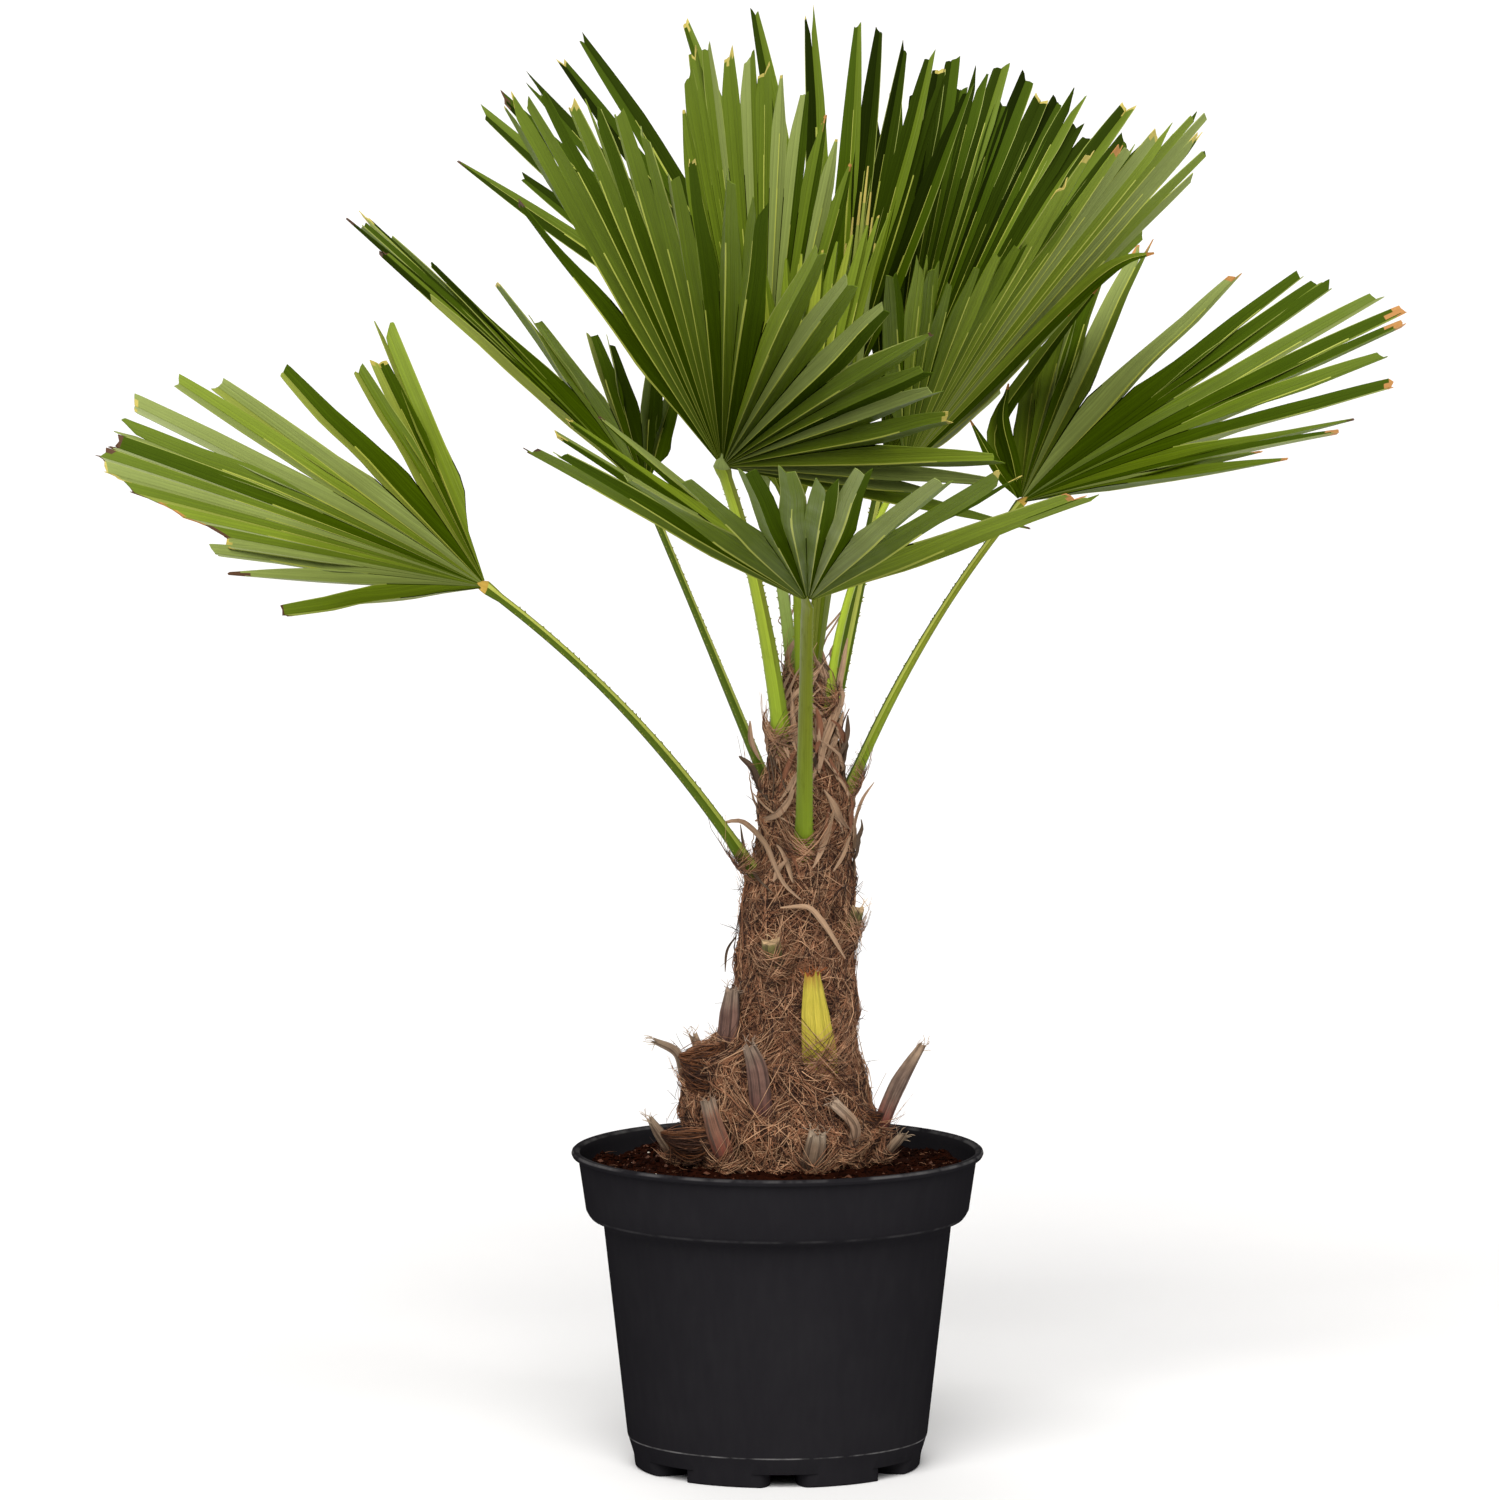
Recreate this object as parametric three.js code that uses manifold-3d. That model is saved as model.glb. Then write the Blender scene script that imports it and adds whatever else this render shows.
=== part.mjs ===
// A young windmill palm in a round nursery pot.
// Millimetres, +Z up. The origin is the centre of the pot's underside, and -Y faces the viewer.
import * as THREE from 'three';
import { mergeVertices } from 'three/addons/utils/BufferGeometryUtils.js';
import Module from 'manifold-3d';

const wasm = await Module();
wasm.setup();

// Clearance between neighbouring solids
const GAP = 0.3;

// Pot: a 12 litre nursery container, 300 mm across the lip
const POT_HEIGHT = 232;
const LIP_RADIUS = 150;
const COLLAR_HEIGHT = 48;
const COLLAR_TOP_RADIUS = 145;
const COLLAR_FOOT_RADIUS = 139.5;
const BODY_TOP_RADIUS = 126.5;
const BODY_FOOT_RADIUS = 109.2;
const BODY_FOOT_HEIGHT = 22;
const FOOT_RADIUS = 104;
const FOOT_HEIGHT = 9;
const FLOOR = 13;
const WALL = 2;
const POT_SIDES = 42;

// Drain channels between the feet: a wide mouth that narrows to a slot under the floor
const FEET = 7;
const CHANNEL_HEIGHT = 10;
const CHANNEL_TURN = THREE.MathUtils.degToRad(2.8);
const MOUTH_HALF = 24;
const THROAT_HALF = 17.5;
const SLOT_HALF = 9.5;
const SLOT_START = 84;
const SLOT_END = 45;

// Soil: filled to a little under the lip and mounded towards the trunk
const SOIL_EDGE = 217;
const SOIL_SEAT = 224;
const SEAT_RADIUS = 84;
const SOIL_TROUGH = [112, 218.5];

// Trunk: centre offset and radius at each height, from the soil to the growing tip
const TRUNK_SIDES = 22;
const TRUNK_RING_STEP = 17;
const BUMP_SHARE = 0.035;
const TRUNK_STATIONS = [
  { z: 224, lean: 6, radius: 72 },
  { z: 245, lean: 6, radius: 75 },
  { z: 268, lean: 0, radius: 71 },
  { z: 303, lean: -4, radius: 65 },
  { z: 313, lean: 7, radius: 52 },
  { z: 335, lean: 11, radius: 48 },
  { z: 356, lean: 13, radius: 45 },
  { z: 415, lean: 14, radius: 42 },
  { z: 452, lean: 20, radius: 35 },
  { z: 490, lean: 19, radius: 34 },
  { z: 512, lean: 18, radius: 26 },
  { z: 545, lean: 20, radius: 22 },
  { z: 575, lean: 23, radius: 14 },
];

// Leaves: the blade is a pleated fan that is split into leaflets. Edge share is how far, in percent, the
// blade goes on beyond its outermost ribs; the other shares are of a leaflet's length or half width
const BLADE_THICKNESS = 4;
const BLADE_FOOT = 7;
const HASTULA_RADIUS = 8;
const LEAFLET_WIDTH = 19;
const LEAFLET_ROOM = 0.92;
const EDGE_SHARE = 2.5;
const TIP_WIDTH = 5;
const TIP_SWAY = 3;
const SPLIT_SHARE = 0.42;
const WIDEST_SHARE = 0.66;
const FOLD_SHARE = 0.4;
const DROOP = 6;
const STALK_FLATNESS = 0.72;

// Each leaf: where its stalk leaves the trunk, where the blade starts, how far the stalk bows and its
// width at each end. First, middle and last are the reaches of the leaflets at 0, 50 and 100 percent
// of the way across the blade, and its upper side is first x last. Before and after lead it further
// round. Tips gives each leaflet's percentage across the blade and its length.
const LEAVES = [
  {
    name: 'left_low', root: [-18, -14, 438], hub: [-209, -75, 651], bow: [8, 0, 10], stalk: [12, 8],
    first: [-74, 108, 174], middle: [-284, -55, 112], last: [-143, -130, -1],
    tips: [[0, 230], [2.8, 200], [6, 200], [16, 222], [26, 248], [30, 271], [37.5, 289], [41, 294],
      [47, 289], [50.3, 302], [53.5, 294], [57, 273], [61, 235], [65.3, 203], [69, 203], [74, 215],
      [83, 212], [99, 193]],
  },
  {
    name: 'left_back', root: [-4, 18, 490], hub: [-97, 150, 698], bow: [-1, 0, 3], stalk: [12, 8],
    first: [20, 205, 60], middle: [-140, 185, 155], last: [-231, 15, 212],
    tips: [[0, 214], [5, 240], [14.5, 255], [18.5, 252], [34, 240], [40, 278], [59.5, 279], [66, 262],
      [72, 294], [77, 312], [83, 300], [89, 310], [95, 265], [101, 215]],
  },
  {
    name: 'front_high', root: [4, -16, 528], hub: [-40, -125, 743], bow: [4, 14, 8], stalk: [13, 9],
    first: [-160, 110, 205], middle: [5, -200, 228], last: [184, -150, 24], after: [120, [200, -70, -40]],
    tips: [[0, 257], [10, 308], [14.5, 306], [19, 312], [22.3, 304], [26, 304], [31, 304], [35, 302],
      [39, 268], [44, 303], [50.5, 303], [56, 298], [65.4, 299], [71, 289], [77.6, 278], [82.5, 297],
      [86, 257], [89.5, 245], [94, 239], [100, 252], [106, 225], [111, 175], [116, 240]],
  },
  {
    name: 'front_low', root: [19, -30, 450], hub: [21, -190, 653], bow: [0, 10, 14], stalk: [14, 11],
    before: [-20, [-151, 104, 128]], first: [-200, -110, 122], middle: [-8, -285, 129], last: [207, -110, 88],
    tips: [[-20, 222], [-15, 220], [-10, 218], [3, 268], [10, 271], [17.5, 243], [30.5, 271], [41.5, 289],
      [47.4, 310], [54, 312], [59.6, 307], [70, 294], [78, 298], [92, 262], [98, 250]],
  },
  {
    name: 'right_low', root: [50, 4, 492], hub: [176, 45, 700], bow: [-7, 0, 6], stalk: [12, 8],
    first: [160, -170, 48], middle: [262, 60, 160], last: [25, 185, 140],
    tips: [[0, 277], [3, 238], [6, 298], [9.5, 295], [18.5, 308], [29, 293], [35.5, 312], [38.7, 316],
      [46, 305], [56.5, 290], [60, 288], [63.5, 287], [76, 276], [89.5, 294], [93, 250], [96.5, 240],
      [101, 190]],
  },
  {
    name: 'right_high', root: [36, -6, 556], hub: [92, 20, 727], bow: [-10, 0, 4], stalk: [12, 8],
    first: [-12, -200, 170], middle: [196, -60, 268], last: [67, 150, 41],
    tips: [[0, 256], [4, 250], [7, 238], [10.5, 208], [15.7, 214], [21, 218], [25, 228], [28.5, 284],
      [32, 304], [35, 250], [38.5, 312], [42, 310], [45.5, 326], [51.5, 326], [54.6, 345], [60, 341],
      [66, 330], [72, 335], [77, 322], [83, 285], [90, 230], [99, 170]],
  },
  {
    name: 'back_centre', root: [20, 14, 535], hub: [42, 110, 746], bow: [0, 8, 0], stalk: [11, 8],
    first: [100, 92, 250], middle: [-98, 120, 300], last: [-277, 50, 199],
    tips: [[0, 284], [5, 290], [9, 300], [13.3, 305], [18, 315], [22, 322], [31, 336], [41, 334], [52.5, 340],
      [58, 240], [64, 235], [71.5, 360], [74.8, 358], [82, 355], [87, 357], [91.5, 357], [95, 305],
      [98.5, 350]],
  },
  {
    name: 'back_right', root: [36, 8, 532], hub: [79, 160, 715], bow: [0, 10, 0], stalk: [11, 8],
    first: [199, 140, 240], middle: [100, 150, 276], last: [-6, 105, 258],
    tips: [[0, 341], [6, 327], [14, 360], [20, 325], [25, 328], [30, 350], [36, 340], [41, 332], [48.5, 342],
      [53, 312], [57.5, 345], [64, 338], [69, 320], [73.5, 334], [78.5, 325], [84.5, 300], [93, 297],
      [101, 272]],
  },
  {
    name: 'inner', root: [12, 2, 572], hub: [-11, -15, 724], bow: [2, 0, 0], stalk: [10, 7],
    first: [-62, -30, 281], middle: [-10, -10, 318], last: [53, 10, 254],
    tips: [[2, 283], [12, 308], [19, 324], [26, 322], [38, 319], [50, 313], [58, 304], [68, 298], [80, 289],
      [92, 274], [101, 258], [112, 240]],
  },
  {
    name: 'young', root: [17, -10, 575], hub: [12, -40, 691], bow: [0, 0, 0], stalk: [9, 6],
    first: [-57, -40, 147], middle: [6, -18, 200], last: [66, 15, 214],
    tips: [[0, 162], [10, 184], [20, 194], [30, 199], [40, 200], [50, 202], [60, 206], [70, 211], [79, 218],
      [86, 229], [93, 237], [101, 240]],
  },
];

// The unopened leaf in the middle of the crown
const SPEAR = { root: [26, 8, 575], tip: [66, 62, 944], width: [9, 15, 4] };
const SPEAR_FLATNESS = 0.8;

// Old leaf bases on the trunk: foot, tip, width at each, thickness and outward bow
const BASE_SINK = 9;
const BASE_SINK_DOWN = 8;
const BASE_THINNING = 0.7;
const LEAF_BASES = [
  { name: 'grey_left', foot: [-36, -22, 292], tip: [-34, -24, 352], width: [14, 12], thick: 6, bow: 3 },
  { name: 'purple_front', foot: [-12, -66, 258], tip: [-17, -58, 318], width: [18, 15], thick: 7, bow: 4 },
  { name: 'red_front_left', foot: [-36, -60, 229], tip: [-52, -62, 275], width: [13, 11], thick: 6, bow: 3 },
  { name: 'curled_left', foot: [-62, -12, 278], tip: [-91, -16, 314], width: [12, 5], thick: 4, bow: -6 },
  { name: 'short_left', foot: [-66, -26, 232], tip: [-92, -36, 259], width: [10, 8], thick: 5, bow: -3 },
  { name: 'long_right', foot: [72, -18, 240], tip: [104, -24, 311], width: [13, 7], thick: 5, bow: -8 },
  { name: 'green_front', foot: [30, -46, 294], tip: [24, -52, 368], width: [25, 10], thick: 9, bow: 6 },
  { name: 'cut_front', foot: [-2, -42, 366], tip: [-5, -52, 391], width: [14, 14], thick: 7, bow: 2 },
  { name: 'cut_right', foot: [52, -18, 388], tip: [57, -23, 412], width: [12, 11], thick: 6, bow: 2 },
  { name: 'grey_block', foot: [22, -66, 229], tip: [27, -74, 254], width: [15, 13], thick: 8, bow: 2 },
  { name: 'strap_right', foot: [44, -56, 232], tip: [50, -62, 276], width: [10, 9], thick: 4, bow: 9 },
  { name: 'small_right', foot: [70, -30, 230], tip: [91, -38, 247], width: [8, 6], thick: 4, bow: 0 },
  { name: 'brown_back', foot: [10, 66, 262], tip: [4, 62, 322], width: [17, 13], thick: 7, bow: 4 },
  { name: 'short_back', foot: [48, 52, 234], tip: [62, 68, 268], width: [12, 9], thick: 5, bow: -3 },
  { name: 'long_back_left', foot: [-42, 46, 250], tip: [-62, 62, 306], width: [13, 8], thick: 5, bow: -5 },
  { name: 'cut_back', foot: [30, 38, 352], tip: [34, 50, 380], width: [14, 12], thick: 7, bow: 2 },
  { name: 'cut_back_left', foot: [-16, 28, 402], tip: [-24, 36, 428], width: [12, 11], thick: 6, bow: 2 },
];

// Finishes
const finish = (color, roughness) => new THREE.MeshStandardMaterial({ color, roughness, metalness: 0 });
const MATERIALS = {
  pot: finish('#1d1d1f', 0.45),
  soil: finish('#3b2116', 0.95),
  trunk: finish('#70543f', 0.95),
  blade: finish('#4f6d34', 0.5),
  stalk: finish('#6f8c3a', 0.5),
  leafBase: finish('#7a655a', 0.8),
  greenBase: finish('#a8a832', 0.6),
};

const vec = (point) => new THREE.Vector3(...point);
const lerp = THREE.MathUtils.lerp;

// Repeatable noise in -1..1 from a pair of whole numbers
function jitter(row, column) {
  const wave = Math.sin(row * 127.1 + column * 311.7) * 43758.5453;
  return 2 * (wave - Math.floor(wave)) - 1;
}

// Geometry to solid and back
function toSolid(geometry) {
  const bare = new THREE.BufferGeometry();
  bare.setAttribute('position', geometry.getAttribute('position'));
  bare.setIndex(geometry.getIndex());
  const welded = mergeVertices(bare, 1e-4);
  const mesh = new wasm.Mesh({
    numProp: 3,
    vertProperties: new Float32Array(welded.getAttribute('position').array),
    triVerts: new Uint32Array(welded.getIndex().array),
  });
  return new wasm.Manifold(mesh);
}

function toGeometry(solid) {
  const mesh = solid.getMesh();
  const geometry = new THREE.BufferGeometry();
  geometry.setAttribute('position', new THREE.BufferAttribute(new Float32Array(mesh.vertProperties), 3));
  geometry.setIndex(new THREE.BufferAttribute(new Uint32Array(mesh.triVerts), 1));
  geometry.computeVertexNormals();
  return geometry;
}

// Indexed triangles from a list of points
function indexed(points, triangles) {
  const geometry = new THREE.BufferGeometry();
  geometry.setAttribute('position', new THREE.Float32BufferAttribute(points.flatMap((p) => p.toArray()), 3));
  geometry.setIndex(triangles);
  return geometry;
}

// A profile of [radius, height] turned about the Z axis
function turned(profile, sides) {
  const points = profile.map(([radius, height]) => new THREE.Vector2(radius, height));
  return new THREE.LatheGeometry(points, sides).rotateX(Math.PI / 2);
}

// A closed skin over rings that all have the same number of points
function lofted(rings) {
  const sides = rings[0].length;
  const points = rings.flat();
  const triangles = [];
  for (let ring = 0; ring < rings.length - 1; ring += 1) {
    for (let side = 0; side < sides; side += 1) {
      const a = ring * sides + side;
      const b = ring * sides + (side + 1) % sides;
      triangles.push(a, b, b + sides, a, b + sides, a + sides);
    }
  }
  const top = (rings.length - 1) * sides;
  for (let side = 1; side < sides - 1; side += 1) {
    triangles.push(0, side + 1, side);
    triangles.push(top, top + side, top + side + 1);
  }
  return indexed(points, triangles);
}

// A limb along a curve: width and thickness change from end to end, and face gives its flat side
function limb(curve, steps, sides, face, widthAt, thickAt) {
  const rings = [];
  for (let step = 0; step <= steps; step += 1) {
    const along = step / steps;
    const centre = curve.getPoint(along);
    const tangent = curve.getTangent(along);
    const across = new THREE.Vector3().crossVectors(face, tangent).normalize();
    const out = new THREE.Vector3().crossVectors(tangent, across).normalize();
    const ring = [];
    for (let side = 0; side < sides; side += 1) {
      const turn = (side + 0.5) / sides * 2 * Math.PI;
      ring.push(centre.clone()
        .addScaledVector(across, Math.cos(turn) * widthAt(along) / 2)
        .addScaledVector(out, Math.sin(turn) * thickAt(along) / 2));
    }
    rings.push(ring);
  }
  return lofted(rings);
}

// Pot

function potProfile() {
  const collarFoot = POT_HEIGHT - COLLAR_HEIGHT;
  const outside = [
    [0, 0], [FOOT_RADIUS, 0], [FOOT_RADIUS + 1, FOOT_HEIGHT], [BODY_FOOT_RADIUS, BODY_FOOT_HEIGHT],
    [BODY_TOP_RADIUS, collarFoot - 7], [BODY_TOP_RADIUS + 5, collarFoot - 3],
    [COLLAR_FOOT_RADIUS, collarFoot + 4], [COLLAR_TOP_RADIUS, POT_HEIGHT - 6],
    [LIP_RADIUS - 0.6, POT_HEIGHT - 4], [LIP_RADIUS, POT_HEIGHT - 1.6], [LIP_RADIUS - 1.4, POT_HEIGHT],
  ];
  return [...outside, ...potInside(0), [0, FLOOR]];
}

// The inner wall from the lip down to the floor, moved inwards by a clearance
function potInside(clearance) {
  const collarFoot = POT_HEIGHT - COLLAR_HEIGHT;
  const inset = WALL + clearance;
  return [
    [COLLAR_TOP_RADIUS + 2.5 - inset, POT_HEIGHT],
    [COLLAR_TOP_RADIUS - inset, POT_HEIGHT - 7],
    [COLLAR_FOOT_RADIUS - inset, collarFoot + 5],
    [BODY_TOP_RADIUS - inset, collarFoot - 5 + clearance],
    [BODY_FOOT_RADIUS - inset, BODY_FOOT_HEIGHT],
    [FOOT_RADIUS - inset, FLOOR + clearance],
  ];
}

function channelCutter(turn) {
  const below = 2;
  const mouth = FOOT_RADIUS - WALL;
  const plan = new THREE.Shape();
  plan.moveTo(SLOT_END, -SLOT_HALF);
  plan.lineTo(SLOT_START, -SLOT_HALF);
  plan.quadraticCurveTo(mouth - 3, -SLOT_HALF - 1, mouth, -THROAT_HALF);
  plan.lineTo(mouth, -MOUTH_HALF);
  plan.lineTo(BODY_FOOT_RADIUS, -MOUTH_HALF);
  plan.lineTo(BODY_FOOT_RADIUS, MOUTH_HALF);
  plan.lineTo(mouth, MOUTH_HALF);
  plan.lineTo(mouth, THROAT_HALF);
  plan.quadraticCurveTo(mouth - 3, SLOT_HALF + 1, SLOT_START, SLOT_HALF);
  plan.lineTo(SLOT_END, SLOT_HALF);
  const options = { depth: CHANNEL_HEIGHT + below, bevelEnabled: false, curveSegments: 4 };
  return new THREE.ExtrudeGeometry(plan, options).translate(0, 0, -below).rotateZ(turn - Math.PI / 2);
}

function pot() {
  let shell = toSolid(turned(potProfile(), POT_SIDES));
  for (let foot = 0; foot < FEET; foot += 1) {
    shell = shell.subtract(toSolid(channelCutter(CHANNEL_TURN + foot / FEET * 2 * Math.PI)));
  }
  return shell;
}

// Soil

function soil() {
  const wall = potInside(GAP);
  const [lipRadius, lipHeight] = wall[1];
  const [collarRadius, collarHeight] = wall[2];
  const climb = (SOIL_EDGE - collarHeight) / (lipHeight - collarHeight);
  const edge = [lerp(collarRadius, lipRadius, climb), SOIL_EDGE];
  const profile = [
    [0, wall[5][1]], wall[5], wall[4], wall[3], wall[2], edge,
    SOIL_TROUGH, [SEAT_RADIUS, SOIL_SEAT], [0, SOIL_SEAT],
  ];
  return toSolid(turned(profile, POT_SIDES));
}

// Trunk

function trunkAt(z) {
  const above = TRUNK_STATIONS.findIndex((station) => station.z >= z);
  const upper = TRUNK_STATIONS[above < 0 ? TRUNK_STATIONS.length - 1 : Math.max(above, 1)];
  const lower = TRUNK_STATIONS[TRUNK_STATIONS.indexOf(upper) - 1];
  const along = THREE.MathUtils.clamp((z - lower.z) / (upper.z - lower.z), 0, 1);
  return { lean: lerp(lower.lean, upper.lean, along), radius: lerp(lower.radius, upper.radius, along) };
}

// The trunk's skin, moved outwards by a clearance; old leaf scars give it a spiral of low bumps
function trunkSkin(clearance) {
  const foot = TRUNK_STATIONS[0].z;
  const tip = TRUNK_STATIONS[TRUNK_STATIONS.length - 1].z;
  const steps = Math.round((tip - foot) / TRUNK_RING_STEP);
  const rings = [];
  for (let step = 0; step <= steps; step += 1) {
    const z = lerp(foot, tip, step / steps);
    const { lean, radius } = trunkAt(z);
    const ring = [];
    for (let side = 0; side < TRUNK_SIDES; side += 1) {
      const turn = side / TRUNK_SIDES * 2 * Math.PI;
      const bump = 1 + BUMP_SHARE * Math.sin(3 * turn + z / 13) * Math.cos(2 * turn - z / 17);
      const reach = radius * bump + clearance;
      ring.push(new THREE.Vector3(lean + reach * Math.cos(turn), reach * Math.sin(turn), z));
    }
    rings.push(ring);
  }
  rings[0].forEach((point) => point.setZ(foot + GAP - clearance * 2));
  rings[steps].forEach((point) => point.setZ(tip + clearance));
  return toSolid(lofted(rings));
}

const TRUNK = trunkSkin(0);
const TRUNK_SPACE = trunkSkin(GAP);
const SOIL_SPACE = toSolid(turned([
  [0, 150], [LIP_RADIUS, 150], [LIP_RADIUS, SOIL_EDGE + GAP], [SOIL_TROUGH[0], SOIL_TROUGH[1] + GAP],
  [SEAT_RADIUS, SOIL_SEAT + GAP], [0, SOIL_SEAT + GAP],
], POT_SIDES));

// Keeps the largest body of a cut solid
function largest(solid) {
  const bodies = solid.decompose();
  return bodies.reduce((best, body) => (body.volume() > best.volume() ? body : best));
}

// Old leaf bases

function leafBase({ foot, tip, width, thick, bow }) {
  const start = vec(foot);
  const end = vec(tip);
  const axis = new THREE.Vector3(trunkAt(start.z).lean, 0, start.z);
  const outward = start.clone().sub(axis).normalize();
  const sunk = start.clone().addScaledVector(outward, -BASE_SINK).setZ(start.z - BASE_SINK_DOWN);
  const middle = start.clone().lerp(end, 0.55).addScaledVector(outward, bow);
  const curve = new THREE.QuadraticBezierCurve3(sunk, middle, end);
  const widthAt = (along) => lerp(width[0], width[1], along);
  const thickAt = (along) => lerp(thick, thick * BASE_THINNING, along);
  const stub = toSolid(limb(curve, 4, 6, outward, widthAt, thickAt));
  return largest(stub.subtract(TRUNK_SPACE).subtract(SOIL_SPACE));
}

// Leaves

function upperSide({ first, last }) {
  return new THREE.Vector3().crossVectors(vec(first), vec(last)).normalize();
}

// Direction of the line that lies at a percentage across the fan: a smooth curve through three spokes
function rayAt(leaf, percent) {
  let spokes = [[0, leaf.first], [50, leaf.middle], [100, leaf.last]];
  if (percent < 0 && leaf.before) spokes = [leaf.before, spokes[0], spokes[1]];
  if (percent > 100 && leaf.after) spokes = [spokes[1], spokes[2], leaf.after];
  const direction = new THREE.Vector3();
  spokes.forEach(([at, reach]) => {
    const weight = spokes.reduce((product, [other]) => (
      other === at ? product : product * (percent - other) / (at - other)), 1);
    direction.addScaledVector(vec(reach).normalize(), weight);
  });
  return direction.normalize();
}

// The blade's own upper side at a percentage across
function faceAt(leaf, percent) {
  return rayAt(leaf, percent - 1).cross(rayAt(leaf, percent + 1)).normalize();
}

function hastula(leaf, clearance) {
  const radius = HASTULA_RADIUS + clearance;
  return toSolid(new THREE.IcosahedronGeometry(radius, 0).translate(...leaf.hub));
}

// Pleated fan: joined round the hub, free leaflets beyond the split, each folded to a V
function bladeMesh(leaf, seed) {
  const { tips } = leaf;
  const hub = vec(leaf.hub);
  const points = [];
  const triangles = [];

  // Adds an upper and a lower point and returns the upper one's number
  const pair = (percent, radius, reach, sideways, raise) => {
    const direction = rayAt(leaf, percent);
    const face = faceAt(leaf, percent);
    const across = new THREE.Vector3().crossVectors(face, direction);
    const centre = hub.clone().addScaledVector(direction, radius).addScaledVector(across, sideways)
      .addScaledVector(face, raise);
    centre.z -= DROOP * (radius / reach) ** 2;
    points.push(centre.clone().addScaledVector(face, BLADE_THICKNESS / 2));
    points.push(centre.clone().addScaledVector(face, -BLADE_THICKNESS / 2));
    return points.length - 2;
  };
  // A strip of the blade's upper and lower skin
  const skin = (a, b, c, d) => {
    triangles.push(a, b, c, a, c, d);
    triangles.push(a + 1, c + 1, b + 1, a + 1, d + 1, c + 1);
  };
  // The wall that closes the blade's edge from a to b
  const wall = (a, b) => triangles.push(a, a + 1, b + 1, a, b + 1, b);

  // Lines between neighbouring leaflets, with the blade's own edges at the ends
  const percents = tips.map(([percent]) => percent);
  const lines = percents.slice(1).map((percent, number) => (percent + percents[number]) / 2);
  lines.unshift(percents[0] - EDGE_SHARE);
  lines.push(percents[percents.length - 1] + EDGE_SHARE);
  const halfAngle = (line, number) => rayAt(leaf, lines[line]).angleTo(rayAt(leaf, percents[number]));

  const edges = lines.map((percent, line) => {
    const beside = [tips[line - 1], tips[line]].filter(Boolean).map(([, length]) => length);
    const shortest = Math.min(...beside);
    const split = SPLIT_SHARE * shortest;
    const raise = FOLD_SHARE * halfAngle(line, Math.min(line, tips.length - 1)) * split;
    return { foot: pair(percent, BLADE_FOOT, shortest, 0, 0), split: pair(percent, split, shortest, 0, raise) };
  });
  tips.forEach(([percent, length], number) => {
    const halves = [halfAngle(number, number), halfAngle(number + 1, number)];
    const narrowest = Math.min(...halves);
    const room = Math.max(narrowest * length - TIP_WIDTH / 2, 0);
    const sway = Math.min(TIP_SWAY, LEAFLET_ROOM * room) * jitter(seed, number);
    const split = SPLIT_SHARE * length;
    const widest = WIDEST_SHARE * length;
    const [leftHalf, rightHalf] = halves.map((angle) => (
      Math.min(LEAFLET_WIDTH / 2, LEAFLET_ROOM * angle * widest)));
    const fold = FOLD_SHARE * (leftHalf + rightHalf) / 2;
    const left = edges[number];
    const right = edges[number + 1];
    const strips = [
      [left.foot, pair(percent, BLADE_FOOT, length, 0, 0), right.foot],
      [left.split, pair(percent, split, length, 0, -FOLD_SHARE * narrowest * split), right.split],
      [
        pair(percent, widest, length, -leftHalf, fold / 2),
        pair(percent, widest, length, 0, -fold / 2),
        pair(percent, widest, length, rightHalf, fold / 2),
      ],
      [-1, 0, 1].map((side) => (
        pair(percent, length, length, side * TIP_WIDTH / 2 + sway, 2 * Math.abs(side) - 1))),
    ];
    for (let part = 0; part < strips.length - 1; part += 1) {
      const [near, far] = [strips[part], strips[part + 1]];
      skin(near[0], far[0], far[1], near[1]);
      skin(near[1], far[1], far[2], near[2]);
      const free = part > 0;
      if (free || number === 0) wall(near[0], far[0]);
      if (free || number === tips.length - 1) wall(far[2], near[2]);
    }
    const [foot, tip] = [strips[0], strips[strips.length - 1]];
    wall(foot[1], foot[0]);
    wall(foot[2], foot[1]);
    wall(tip[0], tip[1]);
    wall(tip[1], tip[2]);
  });
  return indexed(points, triangles);
}

function blade(leaf, seed) {
  return largest(toSolid(bladeMesh(leaf, seed)).subtract(hastula(leaf, GAP)));
}

// Leaf stalk: leaves the trunk, bows, and ends in the hastula that the blade springs from
function stalk(leaf) {
  const start = vec(leaf.root);
  const end = vec(leaf.hub);
  const middle = start.clone().lerp(end, 0.5).addScaledVector(vec(leaf.bow), 2);
  const curve = new THREE.QuadraticBezierCurve3(start, middle, end);
  const widthAt = (along) => lerp(leaf.stalk[0], leaf.stalk[1], Math.min(along * 1.6, 1));
  const thickAt = (along) => STALK_FLATNESS * widthAt(along);
  const tube = toSolid(limb(curve, 7, 8, upperSide(leaf), widthAt, thickAt));
  return largest(tube.add(hastula(leaf, 0)).subtract(TRUNK_SPACE));
}

function spear() {
  const [start, end] = [vec(SPEAR.root), vec(SPEAR.tip)];
  const curve = new THREE.LineCurve3(start, end);
  const [foot, middle, tip] = SPEAR.width;
  const widthAt = (along) => (along < 0.5 ? lerp(foot, middle, along * 2) : lerp(middle, tip, along * 2 - 1));
  const thickAt = (along) => SPEAR_FLATNESS * widthAt(along);
  const bundle = toSolid(limb(curve, 8, 8, new THREE.Vector3(0, -1, 0), widthAt, thickAt));
  return largest(bundle.subtract(TRUNK_SPACE));
}

// Assembly
const palm = new THREE.Group();

function place(name, solid, material) {
  const mesh = new THREE.Mesh(toGeometry(solid), material);
  mesh.name = name;
  palm.add(mesh);
}

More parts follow.
